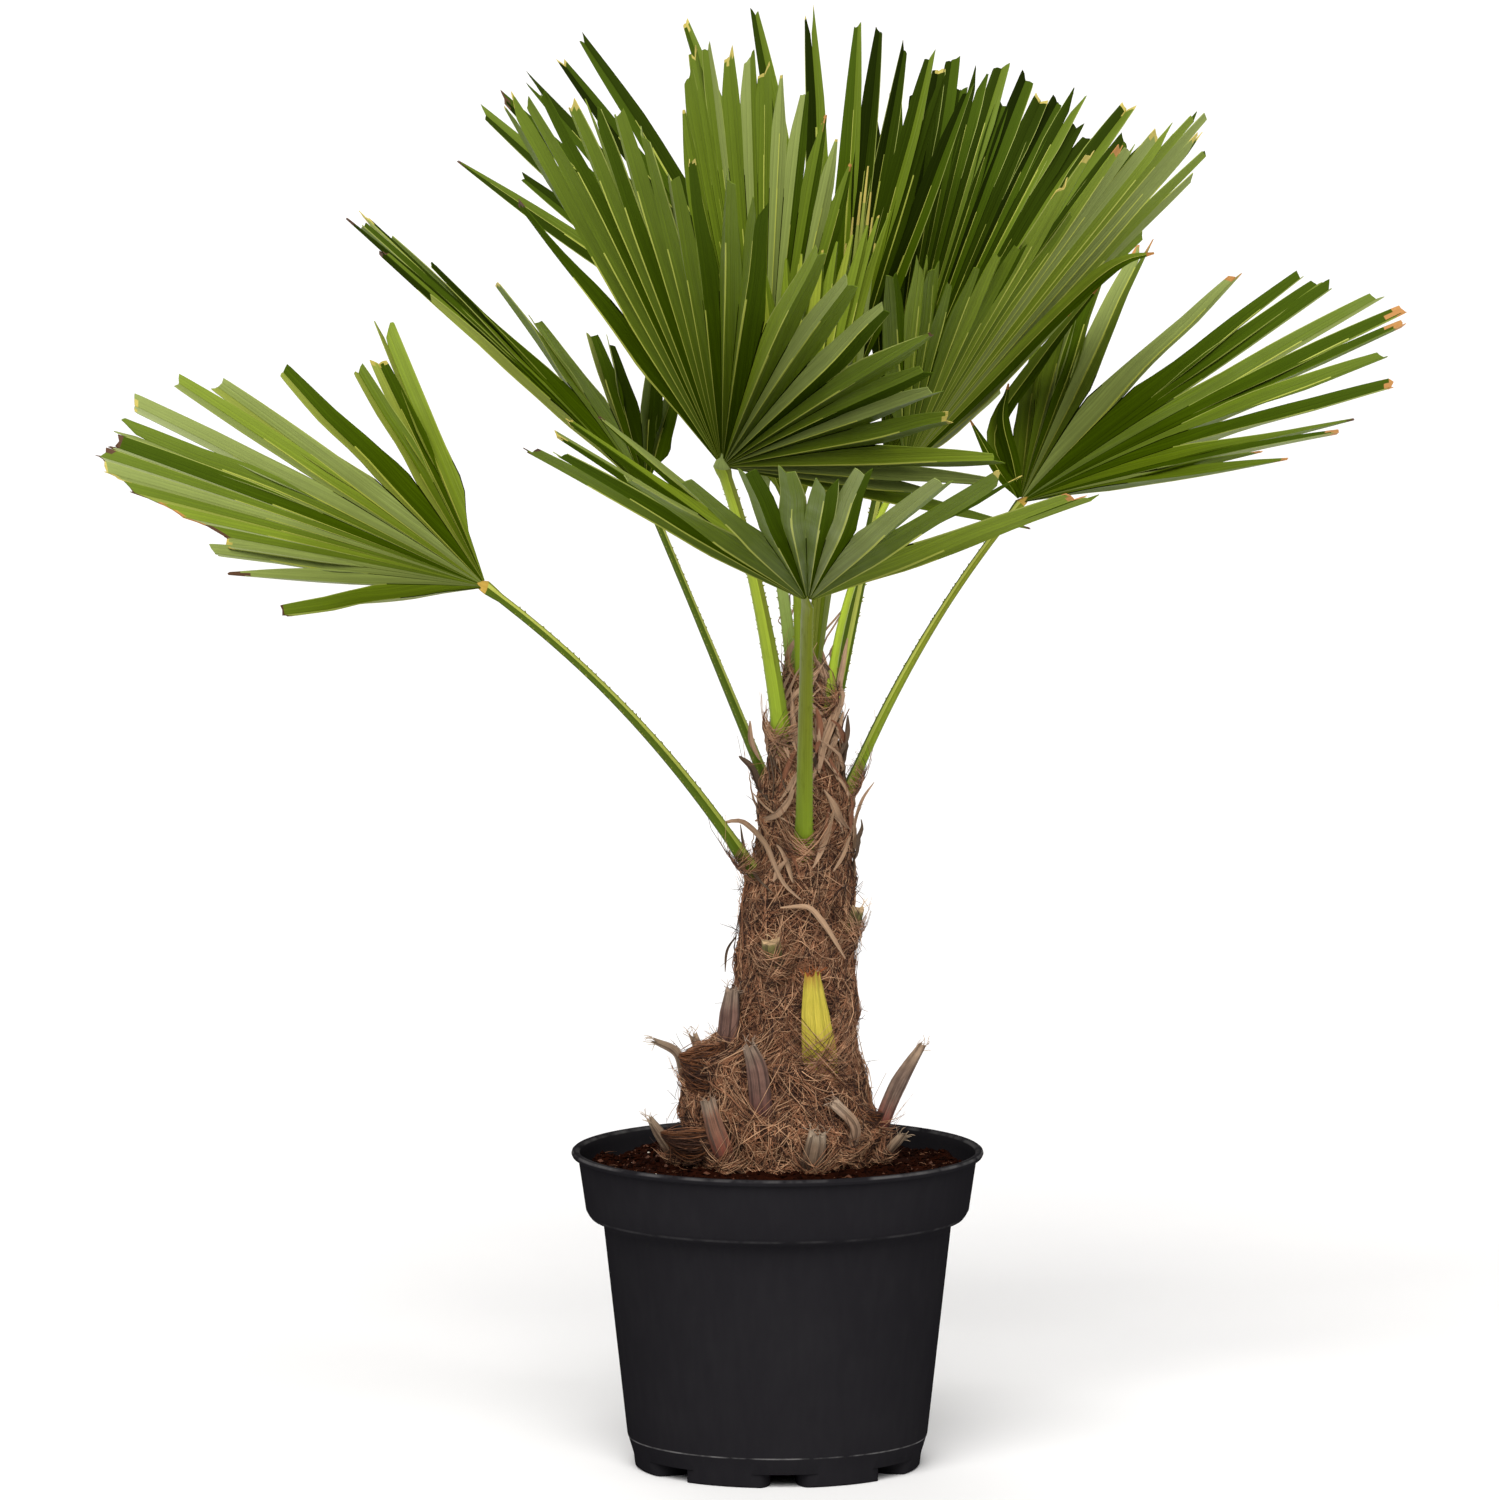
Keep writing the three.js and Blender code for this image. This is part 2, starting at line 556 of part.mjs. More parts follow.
place('pot', pot(), MATERIALS.pot);
place('soil', soil(), MATERIALS.soil);
place('trunk', TRUNK, MATERIALS.trunk);
LEAVES.forEach((leaf, number) => {
  place(`stalk_${leaf.name}`, stalk(leaf), MATERIALS.stalk);
  place(`blade_${leaf.name}`, blade(leaf, number + 1), MATERIALS.blade);
});
place('spear', spear(), MATERIALS.stalk);
LEAF_BASES.forEach((base) => {
  const material = base.name === 'green_front' ? MATERIALS.greenBase : MATERIALS.leafBase;
  place(`base_${base.name}`, leafBase(base), material);
});

export default palm;
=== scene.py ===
"""A potted windmill palm, dressed for rendering around its packed frame. Tables are in millimetres."""

import math
from random import Random

import bpy
from mathutils import Matrix, Vector, noise


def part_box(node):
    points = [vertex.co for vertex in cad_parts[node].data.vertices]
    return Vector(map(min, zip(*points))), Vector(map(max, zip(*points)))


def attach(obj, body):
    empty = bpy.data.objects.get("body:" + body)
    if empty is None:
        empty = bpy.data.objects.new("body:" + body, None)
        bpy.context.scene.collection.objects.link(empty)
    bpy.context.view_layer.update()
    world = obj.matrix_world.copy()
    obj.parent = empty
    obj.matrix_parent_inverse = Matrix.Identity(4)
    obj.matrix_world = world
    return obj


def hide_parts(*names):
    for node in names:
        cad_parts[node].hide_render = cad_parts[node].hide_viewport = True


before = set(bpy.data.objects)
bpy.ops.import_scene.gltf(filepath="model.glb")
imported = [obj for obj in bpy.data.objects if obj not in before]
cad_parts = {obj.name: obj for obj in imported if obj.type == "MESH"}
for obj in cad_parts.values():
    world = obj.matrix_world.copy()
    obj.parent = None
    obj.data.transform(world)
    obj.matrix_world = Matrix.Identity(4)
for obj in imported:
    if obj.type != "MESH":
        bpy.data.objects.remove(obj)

bl_info = {
    "name": "Potted windmill palm",
    "version": (1, 0, 0),
    "blender": (4, 5, 0),
    "location": "3D View > Sidebar > Palm",
    "description": "Builds the pot, peat, trunk, fibres, stalks and fans of a young windmill palm",
    "category": "Add Mesh",
}

MM = 0.001
GRAIN_MAP = "grain"
ROUND = 2 * math.pi

# Camera: its place, how far it looks down, and its lens and sensor
CAMERA_PLACE = (-0.020, -9.0, 1.609)
CAMERA_DIP = 6.871
CAMERA_LENS = 300
CAMERA_SENSOR = 36

# Trunk: height, how far the middle leans to the right, and radius
TRUNK_STATIONS = (
    (224, 6, 72), (245, 6, 75), (268, 0, 71), (303, -4, 65), (313, 7, 52), (335, 11, 48), (356, 13, 45),
    (415, 14, 42), (452, 20, 35), (490, 19, 34), (512, 18, 26), (545, 20, 22), (575, 23, 14),
)

# Each leaf: where its stalk leaves the trunk, where the fan starts, the stalk's bow and its width at both
# ends. Spokes are reaches of the fan at a percentage across it. Left and right are the tones that the two
# halves of its leaflets are dealt: where one list is darker it paints the shade on the half of each fold
# that is turned from the light, and the darkest lists, with deep and shadow, paint the shade on leaves that
# lie behind others. Tips gives each leaflet's percentage across the fan, its length and, where it isn't a
# plain cut, how it ends. A leaf may also have: split, the share of its length at which a leaflet leaves its
# neighbours; sheet, the percentages between which its leaflets stay joined to their tips; wide and blunt,
# how wide its leaflets and their ends are beside the usual; bent, leaflets that hang out of the fan, each
# with the points along it, its half width and its tone.
LEAVES = {
    "left_low": {
        "root": (-18, -14, 438), "hub": (-209, -75, 651), "bow": (8, 0, 10), "stalk": (12, 8),
        "spokes": ((0, (-74, 108, 174)), (50, (-284, -55, 112)), (100, (-143, -130, -1))),
        "left": "mid dark fresh bloom", "right": "light grey bloom grey", "sheet": (44, 68), "blunt": 1.8,
        "tips": (
            (0, 230, "split"), (2.8, 200, "yellow-cut"), (6, 200), (16, 222), (26, 248), (30, 271),
            (37.5, 289, "yellow-cut"), (41, 294, "split"), (47, 289, "brown-ragged"),
            (50.3, 302, "brown-ragged"), (53.5, 294, "yellow-ragged"), (57, 273, "brown-ragged"),
            (61, 235, "orange-ragged"), (65.3, 203, "brown-cut"), (69, 203, "yellow-cut"), (74, 215),
            (83, 212, "burnt-point"), (99, 193, "brown-cut"),
        ),
    },
    "left_back": {
        "root": (-4, 18, 490), "hub": (-97, 150, 698), "bow": (-1, 0, 3), "stalk": (12, 8),
        "spokes": ((0, (20, 205, 60)), (50, (-140, 185, 155)), (100, (-231, 15, 212))),
        "left": "dark deep mid", "right": "mid deep light", "blunt": 1.5,
        "tips": (
            (0, 214), (5, 240), (14.5, 255), (18.5, 252), (34, 240), (40, 278, "yellow-cut"), (59.5, 279),
            (66, 262), (72, 294), (77, 312, "yellow-split"), (83, 300), (89, 310, "brown-point"),
            (95, 265, "brown-ragged"), (101, 215),
        ),
    },
    "front_high": {
        "root": (4, -16, 528), "hub": (-40, -125, 743), "bow": (4, 14, 8), "stalk": (13, 9),
        "spokes": (
            (0, (-160, 110, 205)), (50, (5, -200, 228)), (100, (184, -150, 24)), (120, (200, -70, -40)),
        ),
        "left": "fresh mid bloom", "right": "mid dark mid", "split": 0.56, "wide": 1.1, "blunt": 1.3,
        "tips": (
            (0, 257, "brown-cut"), (10, 308, "yellow-split"), (14.5, 306), (19, 312),
            (22.3, 304, "yellow-cut"), (26, 304, "split"), (31, 304), (35, 302), (39, 268),
            (44, 303, "yellow-cut"), (50.5, 303), (56, 298, "split"), (65.4, 299), (71, 289), (77.6, 278),
            (82.5, 297, "brown-point"), (86, 257), (89.5, 245), (94, 239, "yellow-cut"), (100, 252),
            (106, 225), (111, 175, "point"), (116, 240, "brown-point"),
        ),
    },
    "front_low": {
        "root": (19, -30, 450), "hub": (21, -190, 653), "bow": (0, 10, 14), "stalk": (14, 11),
        "spokes": (
            (-20, (-151, 104, 128)), (0, (-200, -110, 122)), (50, (-8, -285, 129)), (100, (207, -110, 88)),
        ),
        "left": "mid fresh bloom", "right": "dark mid mid", "blunt": 1.7,
        "tips": (
            (-20, 222, "brown-point"), (-15, 220, "yellow-cut"), (-10, 218, "yellow-cut"),
            (3, 268, "brown-ragged"), (10, 271), (17.5, 243), (30.5, 271), (41.5, 289), (47.4, 310),
            (54, 312, "split"), (59.6, 307), (70, 294), (78, 298, "yellow-split"),
            (92, 262, "orange-cut"), (98, 250),
        ),
    },
    "right_low": {
        "root": (50, 4, 492), "hub": (176, 45, 700), "bow": (-7, 0, 6), "stalk": (12, 8),
        "spokes": ((0, (160, -170, 48)), (50, (262, 60, 160)), (100, (25, 185, 140))),
        "bent": (
            (((176, 45, 704), (158, 58, 749), (190, 75, 800), (238, 92, 859)), 6, "mid"),
            (((176, 45, 704), (171, 52, 730), (164, 56, 760), (168, 58, 786)), 5, "deep"),
            (((176, 45, 704), (160, 48, 725), (140, 50, 760)), 4.5, "dark"),
        ),
        "left": "mid bloom fresh", "right": "dark mid bloom dark", "blunt": 1.4,
        "tips": (
            (0, 277, "orange-point"), (3, 238, "orange-point"), (6, 298, "orange-cut"),
            (9.5, 295, "brown-point"), (18.5, 308, "orange-ragged"), (29, 293), (35.5, 312, "orange-cut"),
            (38.7, 316, "orange-cut"), (46, 305), (56.5, 290), (60, 288), (63.5, 287),
            (76, 276, "orange-cut"), (89.5, 294, "orange-split"), (93, 250), (96.5, 240),
            (101, 190, "point"),
        ),
    },
    "right_high": {
        "root": (36, -6, 556), "hub": (92, 20, 727), "bow": (-10, 0, 4), "stalk": (12, 8),
        "spokes": ((0, (-12, -200, 170)), (50, (196, -60, 268)), (100, (67, 150, 41))),
        "bent": (
            (((94, 20, 730), (150, 24, 785), (197, 18, 834), (231, 16, 866), (252, 10, 880), (272, 8, 885)),
             6, "fresh"),
        ),
        "left": "fresh bloom mid", "right": "mid fresh dark", "split": 0.6, "wide": 1.1, "blunt": 1.2,
        "tips": (
            (0, 256), (4, 250, "split"), (7, 238), (10.5, 208), (15.7, 214), (21, 218), (25, 228),
            (28.5, 284, "yellow-cut"), (32, 304, "yellow-cut"), (35, 250), (38.5, 312, "orange-cut"),
            (42, 310), (45.5, 326, "yellow-cut"), (51.5, 326, "split"), (54.6, 345), (60, 341),
            (66, 330, "yellow-split"), (72, 335), (77, 322), (83, 285), (90, 230, "orange-cut"),
            (99, 170),
        ),
    },
    "back_centre": {
        "root": (20, 14, 535), "hub": (42, 110, 746), "bow": (0, 8, 0), "stalk": (11, 8),
        "spokes": ((0, (100, 92, 250)), (50, (-98, 120, 300)), (100, (-277, 50, 199))),
        "left": "mid dark deep", "right": "deep dark shadow", "wide": 0.8, "blunt": 0.9,
        "tips": (
            (0, 284), (5, 290), (9, 300), (13.3, 305), (18, 315), (22, 322), (31, 336, "yellow-split"),
            (41, 334), (52.5, 340, "yellow-cut"), (58, 240), (64, 235), (71.5, 360),
            (74.8, 358, "yellow-cut"), (82, 355, "split"), (87, 357, "brown-cut"), (91.5, 357), (95, 305),
            (98.5, 350, "brown-point"),
        ),
    },
    "back_right": {
        "root": (36, 8, 532), "hub": (79, 160, 715), "bow": (0, 10, 0), "stalk": (11, 8),
        "spokes": ((0, (199, 140, 240)), (50, (100, 150, 276)), (100, (-6, 105, 258))),
        "left": "dark deep mid", "right": "deep shadow deep", "split": 0.74, "blunt": 1.3,
        "tips": (
            (0, 341), (6, 327), (14, 360, "yellow-cut"), (20, 325), (25, 328), (30, 350, "split"),
            (36, 340), (41, 332, "yellow-cut"), (48.5, 342), (53, 312), (57.5, 345), (64, 338, "split"),
            (69, 320), (73.5, 334), (78.5, 325, "yellow-cut"), (84.5, 300), (93, 297, "brown-cut"),
            (101, 272),
        ),
    },
    "inner": {
        "root": (12, 2, 572), "hub": (-11, -15, 724), "bow": (2, 0, 0), "stalk": (10, 7),
        "spokes": ((0, (-62, -30, 281)), (50, (-10, -10, 318)), (100, (53, 10, 254))),
        "left": "bloom mid mid", "right": "mid bloom dark", "split": 0.74, "wide": 1.1, "blunt": 0.85,
        "tips": (
            (2, 283, "yellow-point"), (12, 308), (19, 324, "yellow-cut"), (26, 322),
            (38, 319, "yellow-cut"), (50, 313), (58, 304, "yellow-cut"), (68, 298, "yellow-point"),
            (80, 289), (92, 274, "orange-point"), (101, 258, "yellow-point"), (112, 240, "orange-point"),
        ),
    },
    "young": {
        "root": (17, -10, 575), "hub": (12, -40, 691), "bow": (0, 0, 0), "stalk": (9, 6),
        "spokes": ((0, (-57, -40, 147)), (50, (6, -18, 200)), (100, (66, 15, 214))),
        "left": "fresh lime", "right": "fresh mid",
        "tips": (
            (0, 162, "point"), (10, 184, "point"), (20, 194, "yellow-point"), (30, 199, "point"),
            (40, 200, "point"), (50, 202, "point"), (60, 206, "yellow-point"), (70, 211, "point"),
            (79, 218, "point"), (86, 229, "point"), (93, 237, "yellow-point"), (101, 240, "point"),
        ),
    },
}

# The unopened leaf in the middle of the crown
SPEAR_ROOT = (26, 8, 575)
SPEAR_TIP = (66, 62, 944)

# Old leaf bases on the trunk: points along the middle, half widths there, thickness, the way it faces in
# degrees from the right, as seen from above, and its finish
LEAF_BASES = {
    "grey_left": (((-37, -20, 284), (-37, -26, 310), (-35, -27, 335), (-33, -24, 353)), (8, 8, 7.5, 5.5),
        7, -112, "purple"),
    "purple_front": (((-11, -60, 250), (-12, -70, 272), (-15, -68, 300), (-21, -62, 317)),
        (9.5, 9, 7.5, 5), 8, -95, "purple"),
    "red_front_left": (((-36, -60, 224), (-40, -66, 240), (-46, -66, 258), (-51, -62, 277)),
        (7, 7.5, 7, 6), 7, -105, "rust"),
    "curled_left": (((-60, -16, 268), (-68, -20, 290), (-74, -19, 306), (-90, -17, 314)), (5, 5, 4, 2), 4,
        -130, "brown"),
    "short_left": (((-70, -26, 226), (-78, -34, 236), (-86, -36, 249), (-93, -36, 260)), (5, 5, 4.5, 2.5),
        5, -115, "brown"),
    "long_right": (((68, -20, 232), (76, -26, 256), (88, -26, 284), (105, -24, 312)), (6, 6.5, 6, 3), 6,
        -75, "red"),
    "green_front": (((32, -46, 286), (30, -55, 310), (27, -56, 340), (25, -52, 369)),
        (12.5, 12, 10.5, 5.5), 9, -82, "green"),
    "cut_front": (((-2, -40, 364), (-2, -49, 376), (-4, -52, 384), (-5, -53, 392)), (6, 6, 6.5, 7), 8,
        -93, "fresh"),
    "cut_right": (((51, -18, 386), (55, -22, 396), (57, -23, 404), (59, -24, 412)), (5.5, 5.5, 5.5, 5.5),
        7, -50, "fresh"),
    "grey_block": (((24, -64, 224), (25, -72, 232), (27, -75, 243), (29, -75, 255)), (8, 8.5, 8, 6), 8,
        -85, "grey"),
    "strap_right": (((46, -56, 230), (55, -60, 247), (55, -62, 260), (41, -62, 275)), (4.5, 4, 4, 4.5), 4,
        -70, "strap"),
    "small_right": (((72, -30, 228), (80, -34, 235), (86, -37, 242), (91, -38, 248)), (4, 4, 4, 3), 4,
        -60, "brown"),
    "brown_back": (((10, 60, 254), (9, 70, 276), (6, 70, 300), (3, 62, 323)), (8.5, 9, 8, 5.5), 7, 88,
        "purple"),
    "short_back": (((46, 50, 228), (52, 58, 240), (57, 64, 254), (63, 68, 269)), (6, 6, 5.5, 4), 5, 50,
        "brown"),
    "long_back_left": (((-40, 44, 244), (-48, 52, 264), (-54, 56, 286), (-62, 62, 307)),
        (6.5, 6.5, 6, 3.5), 6, 132, "red"),
    "cut_back": (((30, 36, 350), (32, 46, 362), (33, 50, 372), (34, 51, 381)), (6, 6.5, 6.5, 6.5), 8, 70,
        "fresh"),
    "cut_back_left": (((-14, 26, 400), (-17, 34, 410), (-19, 37, 420), (-20, 37, 428)),
        (5.5, 5.5, 5.5, 5.5), 7, 118, "fresh"),
}

# Torn webs of fibre: top and foot of the near side, top and foot of the far side, and how many strands
FIBRE_WEBS = (
    (((-74, -19, 305), (-66, -22, 280), (-38, -30, 316), (-40, -48, 282)), 420),
    (((-87, -36, 250), (-76, -36, 234), (-46, -62, 258), (-44, -66, 238)), 260),
    (((78, -27, 262), (72, -24, 240), (58, -30, 272), (60, -40, 246)), 140),
    (((-58, 58, 296), (-46, 52, 262), (-30, 44, 300), (-22, 60, 262)), 200),
)

# Papery strips of old sheath on the front of the neck: (across, height) points, half width and shade
SHEATH_STRIPS = (
    (((12, 586), (3, 565), (6, 548), (14, 527)), 2.4, "pale"),
    (((27, 550), (29, 538), (31, 527)), 1.8, "tan"),
    (((51, 606), (48, 590), (44, 571), (46, 562), (37, 538), (31, 525)), 2.6, "tan"),
    (((51, 550), (50, 535), (44, 518)), 2.0, "dark"),
    (((33, 499), (40, 488), (46, 478), (53, 468)), 2.8, "tan"),
    (((41, 484), (38, 471), (31, 456), (25, 444)), 2.5, "pale"),
    (((12, 500), (8, 491), (-1, 481), (-16, 473)), 2.6, "tan"),
    (((-46, 469), (-30, 473), (-20, 469), (-8, 459), (-1, 444), (6, 431), (17, 421)), 2.3, "tan"),
    (((2, 415), (21, 416), (31, 406), (39, 394), (49, 376)), 2.2, "pale"),
    (((-18, 493), (-7, 484), (14, 473)), 0.9, "pale"),
    (((70, 501), (62, 489), (57, 474), (55, 459)), 1.2, "tan"),
    (((-28, 520), (-20, 512), (-14, 499), (-7, 491)), 3.0, "dark"),
    (((60, 505), (55, 494), (52, 478)), 2.4, "tan"),
    (((-27, 470), (-24, 452), (-17, 437), (-4, 425)), 1.4, "dark"),
    (((-3, 545), (-5, 530), (-2, 515)), 1.6, "dark"), (((40, 535), (44, 520), (43, 505)), 2.2, "tan"),
    (((4, 470), (10, 452), (16, 438)), 1.6, "rust"), (((36, 523), (42, 510), (52, 497)), 1.8, "rust"),
    (((55, 470), (48, 452), (40, 440)), 1.5, "tan"), (((-38, 362), (-37, 378), (-30, 390)), 1.0, "dark"),
    (((45, 562), (39, 546), (33, 530), (30, 511)), 3.2, "pale"),
    (((47, 552), (42, 537), (36, 520)), 2.6, "tan"), (((28, 558), (30, 543), (28, 526)), 2.6, "rust"),
    (((9, 562), (12, 545), (17, 529), (21, 513)), 2.3, "tan"),
    (((-20, 546), (-19, 531), (-13, 517)), 2.0, "tan"), (((2, 560), (3, 541), (8, 522)), 2.4, "pale"),
)


def colour(code):
    """A colour from its hex code, as Blender's linear numbers by the standard curve of a screen."""
    channels = [int(code[at:at + 2], 16) / 255 for at in (1, 3, 5)]
    return [c / 12.92 if c <= 0.04045 else ((c + 0.055) / 1.055) ** 2.4 for c in channels] + [1.0]


def size(name, default, description):
    """A length that a user may change."""
    return bpy.props.FloatProperty(
        name=name, default=default, min=0.0, unit="LENGTH", subtype="DISTANCE", description=description)


def share(name, default, description):
    """A share from nothing to the whole."""
    return bpy.props.FloatProperty(
        name=name, default=default, min=0.0, max=1.0, subtype="FACTOR", description=description)


def count(name, default, description):
    """How many of a thing there are."""
    return bpy.props.IntProperty(name=name, default=default, min=0, description=description)


def paint(name, code, description):
    """A colour that a user may change."""
    return bpy.props.FloatVectorProperty(
        name=name, default=colour(code), size=4, min=0.0, max=1.0, subtype="COLOR", description=description)


class PotSizes(bpy.types.PropertyGroup):
    """The nursery pot."""

    height: size("Height", 0.232, "From the floor to the top of the lip")
    lip_radius: size("Lip radius", 0.150, "Radius over the rolled lip")
    collar_radius: size("Collar radius", 0.145, "Radius at the top of the collar, under the lip")
    collar_foot_radius: size("Collar foot radius", 0.1395, "Radius at the foot of the collar")
    collar_height: size("Collar height", 0.048, "Height of the wide band under the lip")
    body_radius: size("Body radius", 0.1265, "Radius of the body under the collar")
    foot_radius: size("Foot radius", 0.1092, "Radius of the body at the chamfer over the feet")
    base_radius: size("Base radius", 0.104, "Radius of the underside")
    wall: size("Wall", 0.002, "Thickness of the plastic")
    floor: size("Floor", 0.013, "Height of the inner floor")
    feet: count("Feet", 7, "Number of drainage channels between the feet")


class SoilSizes(bpy.types.PropertyGroup):
    """The peat."""

    edge: size("Edge height", 0.217, "Height of the peat at the pot's wall")
    seat: size("Seat height", 0.224, "Height of the peat at the trunk")
    relief: size("Relief", 0.003, "How rough the peat's surface is")
    crumbs: count("Crumbs", 6500, "Loose crumbs on the peat")
    grains: count("White grains", 20, "Perlite grains among the crumbs")
    twigs: count("Fibres", 150, "Short root fibres in the peat")


class TrunkSizes(bpy.types.PropertyGroup):
    """The trunk and its fibre."""

    relief: size("Relief", 0.004, "How far the bark stands in and out")
    fibres: count("Fibres", 16500, "Strands in the mat round the trunk")
    long_strands: count("Long strands", 560, "Pale strands that wind further round the trunk")
    tufts: count("Tufts", 260, "Tufts of loose strands that stand off the mat")
    strips: count("Sheath strips", 130, "Papery strips of sheath round the neck")
    strand: size("Strand", 0.00031, "Radius of a strand of the mat")
    length: size("Strand length", 0.036, "Usual length of a strand")


class LeafSizes(bpy.types.PropertyGroup):
    """The fans."""

    width: size("Leaflet width", 0.0205, "Greatest width of a leaflet, laid flat")
    thickness: size("Thickness", 0.0006, "Thickness of a leaflet")
    split: share("Split", 0.46, "Share of its length at which a leaflet leaves its neighbours")
    droop: size("Droop", 0.006, "How far the tips hang below a straight line")
    sway: size("Sway", 0.0035, "How far a leaflet's tip strays sideways")


class PalmColours(bpy.types.PropertyGroup):
    """The colours of the whole plant."""

    plastic: paint("Plastic", "#1c1b1e", "The pot")
    peat: paint("Peat", "#240c04", "The damp peat")
    perlite: paint("Perlite", "#d9d2c4", "White grains in the peat")
    bark: paint("Bark", "#3a2418", "What shows between the fibres")
    fibre: paint("Fibre", "#8b5f44", "Most of the fibres")
    fibre_dark: paint("Dark fibre", "#3a2217", "Old fibres")
    fibre_light: paint("Light fibre", "#b9906f", "Bleached fibres")
    sheath: paint("Sheath", "#a98a6f", "Papery strips of old sheath")
    stalk: paint("Stalk", "#6c7520", "Leaf stalks")
    # Painted shade on the side of a stalk turned from the light
    stalk_dark: paint("Shaded stalk", "#475814", "The darker side of a stalk")
    rib: paint("Rib", "#a3a94f", "The line along a stalk")


# Greens and withered tints that leaflets are made of. The darker greens, shadow above all, also stand for
# painted shade on shaded halves, in creases and on leaves behind others.
LEAF_TONES = {
    "shadow": "#182202", "deep": "#273502", "dark": "#384a03", "mid": "#556708", "fresh": "#6b7d16",
    "lime": "#869226", "light": "#818c32", "bloom": "#76833f", "grey": "#87925c", "rib": "#a0a743",
    "edge": "#808a3a", "yellow": "#a99b44", "orange": "#a47236", "brown": "#4e3523",
}

# Tones without gloss, the painted highlight on the pot's edges, and the green at a stalk's foot
DULL_TONES = ("shadow", "deep", "dark")
EDGE_HIGHLIGHT_GREY = "#6e6d6e"
FRESH_GREEN = "#6d8e1e"

# Metres from the hub over which a leaflet's painted shade fades and its bloom, partly a painted sheen,
# comes, and from a stalk's foot over which its fresh green fades
HUB_SHADE = (0.04, 0.2)
TIP_BLOOM_AND_SHEEN = (0.12, 0.31)
FRESH_FOOT = (0.03, 0.14)

# Finishes of old leaf bases: upper body, lower body, the dark of its streaks, ridges and blotches, and the
# torn or cut top
BASE_TONES = {
    "purple": ("#7c5c50", "#6a3c38", "#2a1b1a", "#a08a78"),
    "red": ("#8c7566", "#8a3a30", "#38241e", "#b59a80"),
    "rust": ("#8d5f4a", "#8a4232", "#3e3630", "#a68f7a"),
    "brown": ("#9a826c", "#7c5c45", "#3e2c20", "#ac967e"),
    "green": ("#c9b744", "#bfab40", "#b3a83a", "#a0582a"),
    "stripe": ("#ecda6a", "#dac956", "#cdbc4e", "#bc8236"),
    "fresh": ("#77703e", "#655c34", "#3e3622", "#d8b68c"),
    "grey": ("#8c745f", "#705a48", "#3d2f25", "#a99580"),
    "strap": ("#a68870", "#8a6c56", "#483528", "#b8a08a"),
}


class Wire:
    """A value in a material's nodes. Python's operators on it add Math nodes."""

    def __init__(self, finish, socket):
        self.finish = finish
        self.socket = socket

    def maths(self, operation, first, second):
        """A Math node on two values."""
        return self.finish.node("ShaderNodeMath", {"operation": operation}, {0: first, 1: second})

    def __add__(self, other):
        return self.maths("ADD", self, other)

    def __sub__(self, other):
        return self.maths("SUBTRACT", self, other)

    def __rsub__(self, other):
        return self.maths("SUBTRACT", other, self)

    def __mul__(self, other):
        return self.maths("MULTIPLY", self, other)

    def size(self):
        """The value without its sign."""
        return self.maths("ABSOLUTE", self, 0.0)

    __radd__ = __add__
    __rmul__ = __mul__


